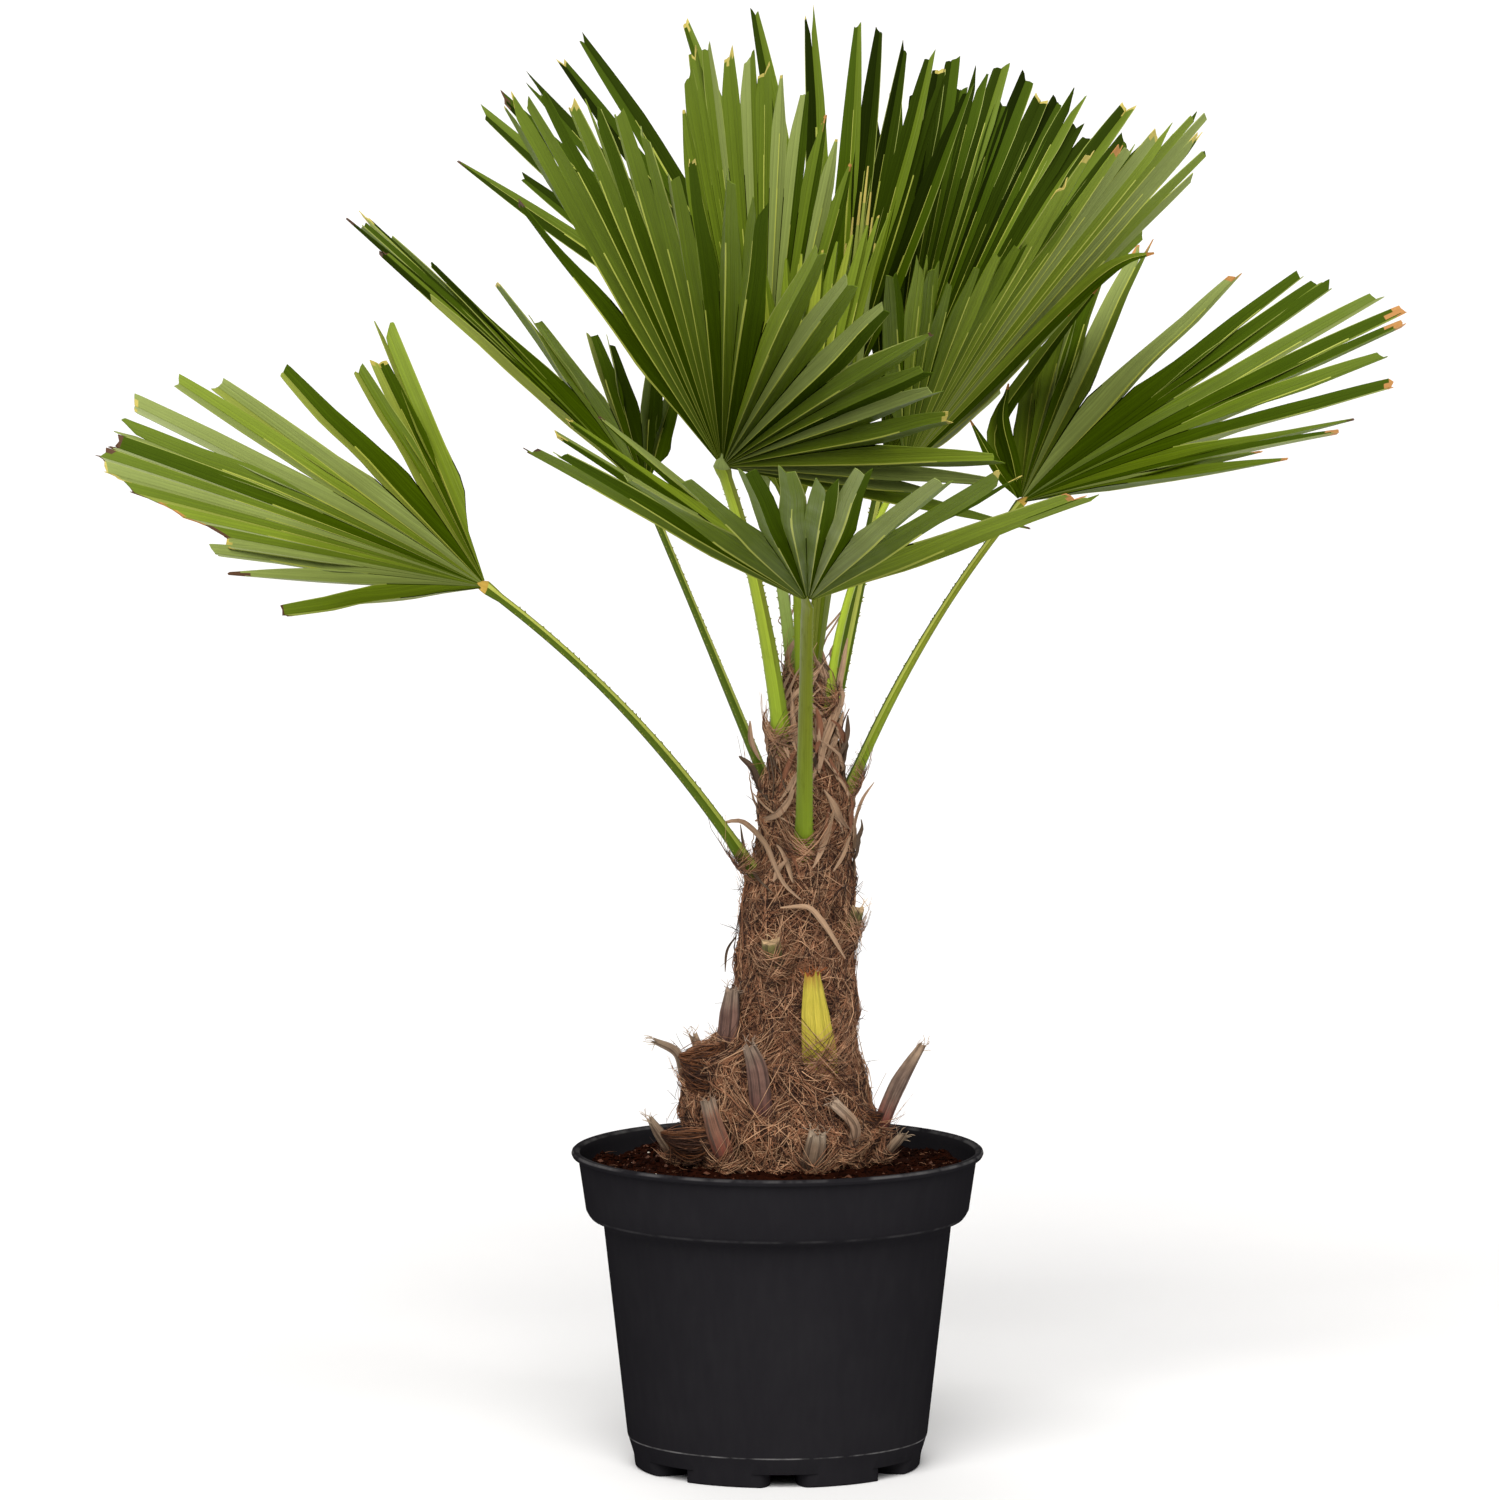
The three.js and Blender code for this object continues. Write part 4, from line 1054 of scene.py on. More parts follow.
# Points along a strand of a web, a strip of sheath and a loose hair
WEB_STEPS = 6
STRIP_STEPS = 12
HAIR_STEPS = 8


def trunk_at(height):
    """How far the trunk's middle leans to the right at a height, and its radius."""
    z = height / MM
    for low, high in zip(TRUNK_STATIONS, TRUNK_STATIONS[1:]):
        if z <= high[0]:
            break
    along = min(max((z - low[0]) / (high[0] - low[0]), 0.0), 1.0)
    return mix(low[1], high[1], along) * MM, mix(low[2], high[2], along) * MM


def trunk_radius(height):
    """The trunk's radius with its shoulders rounded off."""
    heights = [height + step * 0.0025 for step in (-1, 0, 1)]
    return sum(trunk_at(min(max(z, TRUNK_FOOT), TRUNK_TIP))[1] for z in heights) / len(heights)


def bark_point(turn, height, relief, lift=0.0):
    """A point on the bark, whose low bumps in a spiral mark old sheaths."""
    lean = trunk_at(height)[0]
    z = height / MM
    bump = 1 + 0.035 * math.sin(3 * turn + z / 13) * math.cos(2 * turn - z / 17)
    around = spoke(turn)
    at = around * 0.05 + Vector((0, 0, height))
    rough = noise.fractal(at * 60, 1.0, 2.0, 3) * relief + noise.noise(at * 260) * relief * 0.35
    return around * (trunk_radius(height) * bump + rough - relief + lift) + Vector((lean, 0, height))


def front_point(x, height, lift):
    """A point on the front of the bark, or beside it where x is beyond the trunk."""
    lean = trunk_at(height)[0]
    share = min(max((x - lean) / (trunk_radius(height) + 0.001), -1.0), 1.0)
    at = bark_point(-math.acos(share), height, 0.002, lift)
    return Vector((x, at.y, height))


def stalk_rise(leaf):
    """The way a leaf's stalk rises where it leaves the trunk."""
    start, end = Vector(leaf["root"]), Vector(leaf["hub"])
    return (mix(start, end, 0.5) + Vector(leaf["bow"]) * 2 - start).normalized()


def stalk_path(leaf):
    """The middle line of a leaf's stalk, its foot sunk into the trunk."""
    start, end = Vector(leaf["root"]) * MM, Vector(leaf["hub"]) * MM
    path = bowed(start, mix(start, end, 0.5) + Vector(leaf["bow"]) * 2 * MM, end, STALK_STEPS)
    outward = Vector((start.x - trunk_at(start.z)[0], start.y, 0)).normalized()
    path[0] -= stalk_rise(leaf) * 0.016 + outward * 0.005
    return path


def stalk_face(leaf):
    """The way the upper side of a leaf's stalk looks."""
    return Vector(leaf["spokes"][0][1]).cross(Vector(leaf["spokes"][-1][1])).normalized()


class PALM_OT_trunk(bpy.types.Operator):
    """Builds the trunk's bark, with its bumps and its rough skin"""

    bl_idname = "palm.trunk"
    bl_label = "Trunk"

    RINGS = 150
    SIDES = 132

    def execute(self, context):
        sizes = context.scene.palm_trunk
        shape = Shape({"bark": bark_finish(context.scene.palm_colours.bark)})
        rings = []
        for ring in range(self.RINGS):
            height = mix(TRUNK_FOOT - 0.004, TRUNK_TIP, ring / (self.RINGS - 1))
            rings.append([bark_point(turn, height, sizes.relief) for turn in turns(self.SIDES)])
        peak = Vector((trunk_at(TRUNK_TIP)[0], 0, TRUNK_TIP + 0.004))
        rings.append([mix(at, peak, 0.7) for at in rings[-1]])
        shape.loft(rings, "bark")
        settle(shape.piece("trunk_bark"), "trunk_fibre", "trunk")
        return {"FINISHED"}


def along_list(values, along):
    """A value at a share of the way along a list, in a straight line between its neighbours."""
    place = min(max(along, 0.0), 1.0) * (len(values) - 1)
    first = min(int(place), len(values) - 2)
    return mix(values[first], values[first + 1], place - first)


def eased(points, steps):
    """Points along a smooth curve through every given point."""
    ends = [points[0] * 2 - points[1]] + list(points) + [points[-1] * 2 - points[-2]]
    found = []
    for step in range(steps + 1):
        place = step / steps * (len(points) - 1)
        first = min(int(place), len(points) - 2)
        t = place - first
        a, b, c, d = ends[first:first + 4]
        found.append((b * 2 + (c - a) * t + (a * 2 - b * 5 + c * 4 - d) * t * t
                      + (b * 3 - a - c * 3 + d) * t ** 3) * 0.5)
    return found


def husk_path(points, turn):
    """The middle line of an old leaf base, from inside the trunk to its tip, and the way it faces."""
    outward = spoke(math.radians(turn), 1, 0.1).normalized()
    return eased([Vector(at) * MM for at in points], HUSK_STEPS), outward


def bare_spots():
    """Where old leaf bases stand clear of the fibres: points along them and how wide they are there."""
    spots = []
    for points, widths, thick, turn, look in LEAF_BASES.values():
        path, outward = husk_path(points, turn)
        for number in range(int(HUSK_STEPS * HUSK_CLEAR.get(look, 0.4)), HUSK_STEPS + 1, 2):
            wide = along_list(widths, number / HUSK_STEPS) * MM
            spots.append((path[number] + outward * thick * MM / 2, wide))
    return spots


class PALM_OT_fibres(bpy.types.Operator):
    """Builds the mat of fibres round the trunk, its loose hairs and the ragged sheath strips"""

    bl_idname = "palm.fibres"
    bl_label = "Trunk fibres"

    def execute(self, context):
        sizes, tints = context.scene.palm_trunk, context.scene.palm_colours
        finishes = {
            "mid": fibre_finish("fibre_mid", tints.fibre),
            "dark": fibre_finish("fibre_dark", tints.fibre_dark),
            "light": fibre_finish("fibre_light", tints.fibre_light),
            "rust": fibre_finish("fibre_rust", colour("#6e4224")),
        }
        rng = Random(23)
        spots = bare_spots()
        bands = [Shape(finishes) for band in range(3)]
        total = sizes.fibres
        for number in range(total):
            height = mix(TRUNK_FOOT - 0.002, TRUNK_TIP - 0.004, rng.random() ** 1.25)
            path = self.mat_path(rng, height, sizes)
            neck = fade(height, *PALER)
            kind = rng.choices(("mid", "dark", "light"), (6, 4 - 1.5 * neck, 3 + 3 * neck))[0]
            if rng.random() < 0.95 and self.hides_husk(path, spots):
                continue
            band = bands[sum(height >= TRUNK_FOOT + top for top in BAND_TOPS)]
            strand(band, path, sizes.strand * rng.uniform(0.6, 1.4), kind, rng)
        for number in range(sizes.long_strands):
            height = mix(TRUNK_FOOT + 0.004, TRUNK_TIP - 0.03, rng.random())
            path = self.mat_path(rng, height, sizes, 3.0, 8)
            if not self.hides_husk(path, spots):
                kind = rng.choice(("light", "light", "mid", "dark"))
                strand(bands[1], path, sizes.strand * rng.uniform(0.8, 1.5), kind, rng)
        self.webs(bands[0], rng, sizes)
        bindings = Shape(finishes)
        self.bind_stalks(bindings, rng, sizes)
        self.bind_leaf_bases(bindings, rng, sizes)
        settle(bindings.piece("fibre_bindings"), "trunk_fibre")
        for name, band in zip(("foot", "middle", "neck"), bands):
            settle(band.piece("fibre_mat_" + name), "trunk_fibre")
        hairs = Shape(finishes)
        for tuft in range(sizes.tufts):
            self.tuft(hairs, rng, sizes)
        settle(hairs.piece("loose_fibres"), "trunk_fibre")
        self.sheath(sizes, tints)
        return {"FINISHED"}

    def webs(self, shape, rng, sizes):
        """Torn webs of dark fibre that join some of the leaf bases to the trunk."""
        for corners, strands in FIBRE_WEBS:
            near_top, near_foot, far_top, far_foot = [Vector(at) * MM for at in corners]
            for number in range(strands):
                first, second = rng.random() ** 1.3, rng.random() ** 1.3
                across = rng.choice((0.3, 0.5, 1.0))
                start = mix(near_top, near_foot, first)
                end = mix(far_top, far_foot, mix(first, second, across))
                sag = Vector((rng.gauss(0, 1), rng.gauss(-1, 1.5), rng.gauss(-1, 2))) * 0.002
                path = [
                    mix(start, end, place / WEB_STEPS) + sag * math.sin(math.pi * place / WEB_STEPS)
                    for place in range(WEB_STEPS + 1)]
                radius = sizes.strand * rng.uniform(0.7, 1.5)
                strand(shape, path, radius, rng.choice(("rust", "dark", "dark", "mid")), rng)

    def bind_stalks(self, shape, rng, sizes):
        """Fibres that cross over each stalk where it leaves the trunk."""
        for leaf in LEAVES.values():
            path, wide = stalk_path(leaf), leaf["stalk"][0] * MM / 2 * STALK_FLARE
            _, across, face = frames(path, stalk_face(leaf))[1]
            outward = path[1] - Vector((trunk_at(path[1].z)[0], 0, path[1].z))
            outward = (outward - stalk_rise(leaf) * outward.dot(stalk_rise(leaf))).normalized()
            proud = wide * math.hypot(outward.dot(across), STALK_DEPTH * outward.dot(face))
            self.bind(shape, rng, sizes, path, outward, wide, proud * 1.08, *STALK_BINDING)

    def bind_leaf_bases(self, shape, rng, sizes):
        """Fibres that half hide the foot of each old leaf base."""
        for points, widths, thick, turn, look in LEAF_BASES.values():
            path, outward = husk_path(points, turn)
            binding = HUSK_BINDING.get(look, HUSK_BINDING["husk"])
            self.bind(shape, rng, sizes, path, outward, widths[0] * MM, thick * MM / 2, *binding)

    def bind(self, shape, rng, sizes, path, outward, wide, proud, bound, strands):
        """Strands that cross over the bound share of a stalk or leaf base, most of them near its foot."""
        for number in range(strands):
            share_along = (1 - rng.random() ** 0.4) * bound
            at = along_list(path, share_along)
            rise = (along_list(path, share_along + 0.1) - at).normalized()
            out = (outward - rise * outward.dot(rise)).normalized()
            aside = rise.cross(out)
            half = rng.uniform(1.3, 2.6) * wide
            slant = rng.gauss(0, 0.9)
            height = proud + rng.uniform(0.0002, 0.0016)
            strand_path = []
            for place in range(6):
                t = place / 2.5 - 1
                lift = height * (1 - abs(t) ** 3) - 0.004 * abs(t) ** 3
                strand_path.append(at + aside * half * t + rise * slant * half * t + out * lift)
            kind = rng.choice(("mid", "dark", "light"))
            strand(shape, strand_path, sizes.strand * rng.uniform(0.5, 1.1), kind, rng)

    def sheath(self, sizes, tints):
        """Papery strips of old sheath: those that show in front, and others all round the neck."""
        shape = Shape({
            "pale": husk_finish("sheath_pale", darker(tints.sheath, 1.2), dark=darker(tints.sheath, 0.8)),
            "tan": husk_finish("sheath_tan", darker(tints.sheath, 1.1), dark=darker(tints.sheath, 0.65)),
            "dark": husk_finish("sheath_dark", darker(tints.sheath, 0.32)),
            "rust": husk_finish("sheath_rust", colour("#8c5c42")),
        })
        rng = Random(31)
        facing = Vector((0, -1, 0.1)).normalized()
        for points, half, shade in SHEATH_STRIPS:
            reach = [front_point(x * MM, z * MM, rng.uniform(0.005, 0.008)) for x, z in points]
            ribbon(shape, eased(reach, 16), facing, half * MM, shade, rng)
        for number in range(sizes.strips):
            turn = number * 2.4 + rng.uniform(-0.4, 0.4)
            front = math.sin(turn) < -0.35
            if front and number % 2:
                continue
            height = mix(*STRIP_HEIGHTS, rng.random() ** 0.7)
            length = rng.uniform(0.03, 0.085) * (0.6 if front else 1.0)
            steep = rng.uniform(1.0, 1.55)
            sense = rng.choice((-1, 1))
            peel = rng.uniform(0.001, 0.012) * (0.4 if front else 1.0)
            path = []
            for place in range(STRIP_STEPS + 1):
                lift = 0.0015 + peel * (place / STRIP_STEPS) ** 2 + 0.004 * fade(height, TRUNK_TIP, 0.05)
                path.append(bark_point(turn, height, 0.002, lift))
                steep -= rng.uniform(0, 0.06)
                turn += sense * math.cos(steep) * length / STRIP_STEPS / max(trunk_radius(height), 0.018)
                height += math.sin(steep) * length / STRIP_STEPS
            out = spoke(turn, 1, 0.2).normalized()
            shade = rng.choice(("pale", "pale", "tan", "tan", "dark", "rust"))
            ribbon(shape, path, out, rng.uniform(0.0008, 0.003), shade, rng)
        settle(shape.piece("sheath_strips", crease=60), "trunk_fibre")

    def hides_husk(self, path, spots):
        """Whether a strand would lie over the clear part of an old leaf base."""
        return any((at - spot).length < reach + 0.0015 for at in path for spot, reach in spots)

    def mat_path(self, rng, height, sizes, stretch=1.0, steps=4):
        """A strand that lies on the bark and wanders, its middle lifted clear of it."""
        turn = rng.uniform(0, ROUND)
        upright = fade(height, *UPRIGHT)
        steep = rng.choice((-1, 1)) * rng.gauss(mix(0.75, 1.4, upright), mix(0.45, 0.2, upright))
        length = sizes.length * rng.uniform(0.5, 1.4) * stretch
        lift = rng.uniform(0.0003, 0.0038) * (0.6 + 0.4 * rng.random()) * (1.5 if stretch > 1 else 1.0)
        bend = rng.gauss(0, 0.30)
        path = []
        for place in range(steps + 1):
            along = place / steps
            rise = math.sin(math.pi * along)
            height = min(max(height, TRUNK_FOOT - 0.003), TRUNK_TIP + 0.006)
            path.append(bark_point(turn, height, sizes.relief, lift * (0.35 + 0.65 * rise)))
            steep += bend + rng.gauss(0, 0.12)
            turn += math.cos(steep) * length / steps / trunk_radius(height)
            height += math.sin(steep) * length / steps
        return path

    def tuft(self, shape, rng, sizes):
        """A few loose strands that spring from one place of the mat and curl."""
        turn = rng.uniform(0, ROUND)
        height = mix(TRUNK_FOOT + 0.004, TRUNK_TIP, rng.random())
        root = bark_point(turn, height, sizes.relief, 0.001)
        out = spoke(turn, 1, rng.uniform(-0.3, 0.6)).normalized()
        side = Vector((-math.sin(turn), math.cos(turn), 0)) * rng.choice((-1, 1))
        for hair in range(rng.randrange(2, 7)):
            path = [root + stray(rng) * 0.003]
            step = sizes.length * rng.uniform(0.2, 0.6) / HAIR_STEPS
            direction = (out * rng.uniform(0.2, 0.8) + side * rng.uniform(0.5, 1.2)
                         + Vector((0, 0, rng.uniform(-0.6, 0.8)))).normalized()
            curl = Vector([rng.gauss(0, 1) for axis in range(3)]) * 0.25 - out * 0.12
            for place in range(HAIR_STEPS):
                direction = (direction + curl).normalized()
                path.append(path[-1] + direction * step)
            radius = sizes.strand * rng.uniform(0.5, 0.9)
            strand(shape, path, radius, rng.choice(("mid", "dark", "dark")), rng)


# Old leaf bases

# From which share of its length an old leaf base has its top's colour, by its finish, and the steps of
# the strands at its torn top
HUSK_BARE = {"green": 0.98, "fresh": 0.99}
FRAY_STEP = 0.0018


class PALM_OT_leaf_bases(bpy.types.Operator):
    """Builds the old leaf bases: ribbed husks with a torn or cut top"""

    bl_idname = "palm.leaf_bases"
    bl_label = "Old leaf bases"

    SIDES = 26

    def execute(self, context):
        for number, (name, base) in enumerate(LEAF_BASES.items()):
            points, look = base[0], base[-1]
            length = (Vector(points[-1]) - Vector(points[0])).length * MM
            finishes = {}
            for part, tones in {"body": look, "stripe": "stripe"}.items():
                if part == "body" or look == "green":
                    tints = [colour(code) for code in BASE_TONES[tones]]
                    finishes[part] = husk_finish(f"{name}_{part}", *tints, length, HUSK_BARE.get(look, 0.88))
            finishes["cut"] = husk_finish(name + "_cut", colour(BASE_TONES[look][3]))
            shape = Shape(finishes)
            self.husk(shape, Random(40 + number), *base)
            slot = "green_leaf_base" if look == "green" else "old_leaf_base"
            settle(shape.piece("husk_" + name, crease=50), slot, "base_" + name)
        return {"FINISHED"}

    def husk(self, shape, rng, points, widths, thick, turn, look):
        """One leaf base: a crescent in cross-section, with uneven ribs and a torn or slanting top."""
        path, outward = husk_path(points, turn)
        cut = look == "fresh"
        phase = rng.uniform(0, 6)
        rough = [rng.uniform(-1, 1) for side in range(self.SIDES)]
        rings = []
        for number, (at, across, out) in enumerate(frames(path, outward)):
            along = number / HUSK_STEPS
            wide = along_list(widths, along) * MM * (1 + 0.05 * math.sin(8 * along + phase))
            deep = mix(thick, thick * (0.9 if cut else 0.55), along) * MM / 2
            ring = []
            for side in range(self.SIDES):
                x, y = self.outline(side)
                ridge = 1 + 0.05 * rough[side] * (1 + 0.4 * math.sin(5 * along + side))
                trough = (0.7 if cut else 1.1) * deep * (1 - x * x) * along * (y < 0)
                rise = y * deep * ridge + trough - 0.5 * deep * x * x
                ring.append(at + across * x * wide * ridge + out * rise)
            rings.append(ring)
        axis = (path[-1] - path[-2]).normalized()
        torn = [rng.uniform(-0.0006, 0.0004) if cut else rng.uniform(-0.0042, 0.0022) for side in rings[-1]]
        if cut:
            torn = [rise - (at - path[-1]).dot(outward) * 0.55 for at, rise in zip(rings[-1], torn)]
        for back, part in ((1, 1.0), (2, 0.45)):
            rings[-back] = [at + axis * rise * part for at, rise in zip(rings[-back], torn)]
        heart = sum(rings[-1], Vector()) / self.SIDES
        rings.append([mix(at, heart, 0.2) - axis * 0.0003 for at in rings[-1]])
        rings.append([mix(at, heart, 0.75) - axis * rng.uniform(0.0002, 0.0012) for at in rings[-2]])
        front = self.SIDES * 3 // 4

        def kind(place, side):
            if place >= HUSK_STEPS:
                return "cut"
            if look == "green" and abs(side - front - 1.5) < 2.6 - 1.6 * place / HUSK_STEPS:
                return "stripe"
            return "body"

        shape.loft(rings, kind)
        for fray in range(4 if cut else 12):
            self.fray(shape, rng, rings[HUSK_STEPS][rng.randrange(self.SIDES)], axis)

    def outline(self, side):
        """A corner of the cross-section: a flat crescent with thin margins."""
        turn = side / self.SIDES * ROUND
        x = math.cos(turn)
        return math.copysign(abs(x) ** 0.8, x), math.sin(turn)

    def fray(self, shape, rng, at, axis):
        """A short strand that sticks out of the torn top."""
        path = [at]
        direction = (axis + Vector((rng.gauss(0, .5), rng.gauss(0, .5), rng.gauss(0, .3)))).normalized()
        for place in range(4):
            direction = (direction + Vector((rng.gauss(0, .3), rng.gauss(0, .3), -0.1))).normalized()
            path.append(path[-1] + direction * FRAY_STEP)
        strand(shape, path, 0.00026, "cut", rng)


# Leaves

# Where a leaflet's points lie: shares of its length, and of its half width from the rib to the edge
STATIONS = (0, .03, .07, .12, .18, .25, .32, .38, .44, .5, .57, .64, .71, .78, .85, .91, .95, .975, .99, 1)
COLUMNS = (0, .08, .5, .94, 1)
BENT_COLUMNS = (1, 0.5, 0.06, 0, -0.06, -0.5, -1)

# A leaflet starts this far from the hub, and is folded steeply there and less steeply further out
LEAFLET_FOOT = 0.006
FOLD_NEAR = 1.1
FOLD_FAR = 0.5
FOLD_REACH = 0.26

# Usual length, half the angle of an outermost leaflet, share of its length where it is widest, from where
# its tip is notched, and how far neighbours lie above each other
USUAL_LENGTH = 0.29
EDGE_ANGLE = math.radians(2.6)
WIDEST = 0.56
NOTCHED_FROM = 0.8
LAYER = 0.0016

# Width of a tip beside the leaflet's greatest width, and share of its length that is withered
TIP_WIDTHS = {"cut": .38, "ragged": .46, "split": .44, "point": .1}
WITHERED_SHARES = {"": 0.0, "yellow": .012, "orange": .02, "brown": .016, "burnt": .09}

# Points along the unopened leaf, and the distance between its pleats
SPEAR_STEPS = 14
PLEAT_SHIFT = 0.0016


def ray(leaf, percent):
    """Direction of the line at a percentage across the fan: a smooth curve through three spokes."""
    spokes = leaf["spokes"]
    if len(spokes) > 3:
        first_three = percent < 0 if spokes[0][0] < 0 else percent <= 100
        spokes = spokes[:3] if first_three else spokes[1:]
    direction = Vector()
    for at, reach in spokes:
        weight = math.prod((percent - other) / (at - other) for other, _ in spokes if other != at)
        direction += Vector(reach).normalized() * weight
    return direction.normalized()


def upper_side(leaf, percent):
    """The way the fan's upper side faces at a percentage across."""
    return ray(leaf, percent - 1).cross(ray(leaf, percent + 1)).normalized()


class Fan:
    """One leaf's blade: a pleated fan, joined round the hub and split into folded leaflets."""

    def __init__(self, shape, leaf, sizes, seed):
        self.shape = shape
        self.leaf = leaf
        self.sizes = sizes
        self.rng = Random(seed)
        self.hub = Vector(leaf["hub"]) * MM
        self.tones = {-1: leaf["left"].split(), 1: leaf["right"].split()}
        self.percents = [tip[0] for tip in leaf["tips"]]
        self.lengths = [tip[1] * MM for tip in leaf["tips"]]
        self.ends = [tip[2] if len(tip) > 2 else "cut" for tip in leaf["tips"]]
        self.split = leaf.get("split", sizes.split)

    def grow(self):
        """Adds every leaflet to the shape."""
        for number in range(len(self.percents)):
            self.leaflet(number)
        for points, half, tone in self.leaf.get("bent", ()):
            self.bent(eased([Vector(at) * MM for at in points], 18), half * MM, tone)

    def bent(self, path, half, tone):
        """A folded leaflet that bends away from the fan."""
        rows, lift = [], []
        for number, (at, across, out) in enumerate(frames(path, Vector((0, -1, 0.2)))):
            along = number / (len(path) - 1)
            wide = half * min(0.35 + along * 2.2, 1.0, 0.12 + (1 - along) * 2.4)
            rows.append([
                (at + across * wide * place + out * wide * 0.6 * abs(place), wide * place, along * 0.2)
                for place in BENT_COLUMNS])
            lift.append(out * self.sizes.thickness)
        # One half of the fold takes the dark tone: painted shade on that side
        tones = (tone, tone, "rib", "rib", "dark", "dark")
        last = len(path) - 2
        self.shape.slab(rows, lift, lambda row, column, upper: "orange" if row == last else tones[column])

    def room(self, number, side):
        """Angle from a leaflet's rib to the line it shares with its neighbour, where it splits off, and how
        long the fan is on that line."""
        length = self.lengths[number]
        other = number + side
        if not 0 <= other < len(self.percents):
            return EDGE_ANGLE, length * 0.2, length
        line = (self.percents[number] + self.percents[other]) / 2
        angle = ray(self.leaf, self.percents[number]).angle(ray(self.leaf, line))
        low, high = self.leaf.get("sheet", (0, 0))
        if low < line < high:
            return angle, 1.0, (length + self.lengths[other]) / 2
        return angle, min(length, self.lengths[other]) * self.split, length

    def leaflet(self, number):
        """One leaflet: two halves that rise from its rib, joined to its neighbours near the hub and free
        beyond, with a cut, split, ragged or pointed tip."""
        rng = self.rng
        percent, length = self.percents[number], self.lengths[number]
        tint, _, end = self.ends[number].rpartition("-")
        rooms = {side: self.room(number, side) for side in (-1, 1)}
        in_sheet = max(room[1] for room in rooms.values()) == 1.0
        full = self.sizes.width / 2 * rng.uniform(0.86, 1.06)
        full *= (length / USUAL_LENGTH) ** 0.4
        full *= self.leaf.get("wide", 1.0)
        bend = 0.0 if in_sheet else rng.gauss(0, 0.5) * self.sizes.sway
        sag = 1.0 if in_sheet else rng.uniform(0.4, 1.8)
        twist = 0.0 if in_sheet else rng.gauss(0, 0.2)
        fold = rng.uniform(0.8, 1.3)
        layer = 0.0 if in_sheet else ((number % 3) - 1) * LAYER
        withered = WITHERED_SHARES[tint] * rng.uniform(0.6, 1.6)
        torn = 0.006 if end == "ragged" else 0.0012
        blunt = self.leaf.get("blunt", 1.0)
        notched = (end != "point" and not in_sheet) / blunt
        dip = rng.choice((0.005, 0.003, 0.001)) * notched
        slant = rng.choice((-0.005, -0.002, 0.002, 0.005)) * notched
        tip_width = min(TIP_WIDTHS[end] * blunt * rng.uniform(0.85, 1.15), 0.95)
        direction, face = ray(self.leaf, percent), upper_side(self.leaf, percent)
        rows = {-1: [], 1: []}
        lift = []
        for along in STATIONS:
            radius = mix(LEAFLET_FOOT, length, along)
            widths = {
                side: self.half_width(along, radius, length, full, tip_width, *room[:2])
                for side, room in rooms.items()}
            free = fade(along, self.split, 0.35)
            turned_face = Matrix.Rotation(twist * free, 3, direction) @ face
            across = turned_face.cross(direction)
            slope = mix(FOLD_NEAR, FOLD_FAR * mix(1, fold, free), smooth(radius / FOLD_REACH))
            rib = -slope * (widths[-1] + widths[1]) / 4
            centre = self.hub + direction * radius + turned_face * layer * free
            drop = self.sizes.droop * mix(1, sag, free) * (radius / USUAL_LENGTH) ** 2
            centre += across * bend * free ** 2 - Vector((0, 0, drop))
            gap = self.tip_gap(end, along)
            for side in (-1, 1):
                row = []
                for column in COLUMNS:
                    out = widths[side] * mix(gap, 1, column)
                    height = mix(rib, slope * widths[side] / 2, out / widths[side])
                    height += 0.05 * widths[side] * math.sin(math.pi * column)
                    reach = (rooms[side][2] - length) * column * smooth((along - 0.5) * 2)
                    if along > NOTCHED_FROM:
                        notch = dip * (1 - column) ** 1.5 + slant * side * column + 0.003 * (column == 1)
                        reach -= notch * ((along - NOTCHED_FROM) / (1 - NOTCHED_FROM)) ** 2
                    if along == 1:
                        reach += rng.uniform(-torn, torn * 0.3)
                    edge = centre + across * side * out + turned_face * height
                    row.append((edge + direction * reach, out, radius))
                rows[side].append(row if side < 0 else row[::-1])
            lift.append(turned_face * self.sizes.thickness)
        for side in (-1, 1):
            main = rng.choice(self.tones[side])
            self.shape.slab(rows[side], lift, self.dealt(side, main, withered, tint))

    def half_width(self, along, radius, length, full, tip_width, angle, split):
        """How far a leaflet's edge is from its rib: the fan's room near the hub, its own outline beyond."""
        if split == 1.0:
            return angle * radius
        if along < WIDEST:
            own = full * mix(1.5, 1.0, fade(along, 0.2, WIDEST - 0.2))
        else:
            own = full * (1 - (1 - tip_width) * ((along - WIDEST) / (1 - WIDEST)) ** 1.6)
        joined = min(angle * radius, own * 1.3)
        return mix(joined, mix(joined, own, 0.8), fade(radius, split, 0.2 * length))

    def tip_gap(self, end, along):
        """Share of its width by which a leaflet's halves stand apart from its rib."""
        return 0.85 * fade(along, 0.93, 0.09) if end == "split" else 0.0

    def dealt(self, side, main, withered, tint):
        """The finish of a face, by where it is on the leaflet."""
        rng = self.rng
        last = len(COLUMNS) - 2
        rib_reach = rng.uniform(0.45, 0.9)
        edged = rng.random() < 0.3
        ends = [1 - withered * rng.uniform(0.3, 1.5) for column in range(last + 1)]
        colour_name = "brown" if tint == "burnt" else tint

        def kind(row, column, upper):
            along = (STATIONS[row] + STATIONS[row + 1]) / 2
            band = column if side < 0 else last - column
            if withered and along > ends[band]:
                return colour_name
            if band == 0 and along < rib_reach:
                return "rib"
            # The strip along an edge joined to a neighbour takes the shadow tone: painted shade in the
            # crease
            if band == last and along < self.split:
                return "shadow"
            if band == last and edged and along > 0.4:
                return "edge"
            return main

        return kind


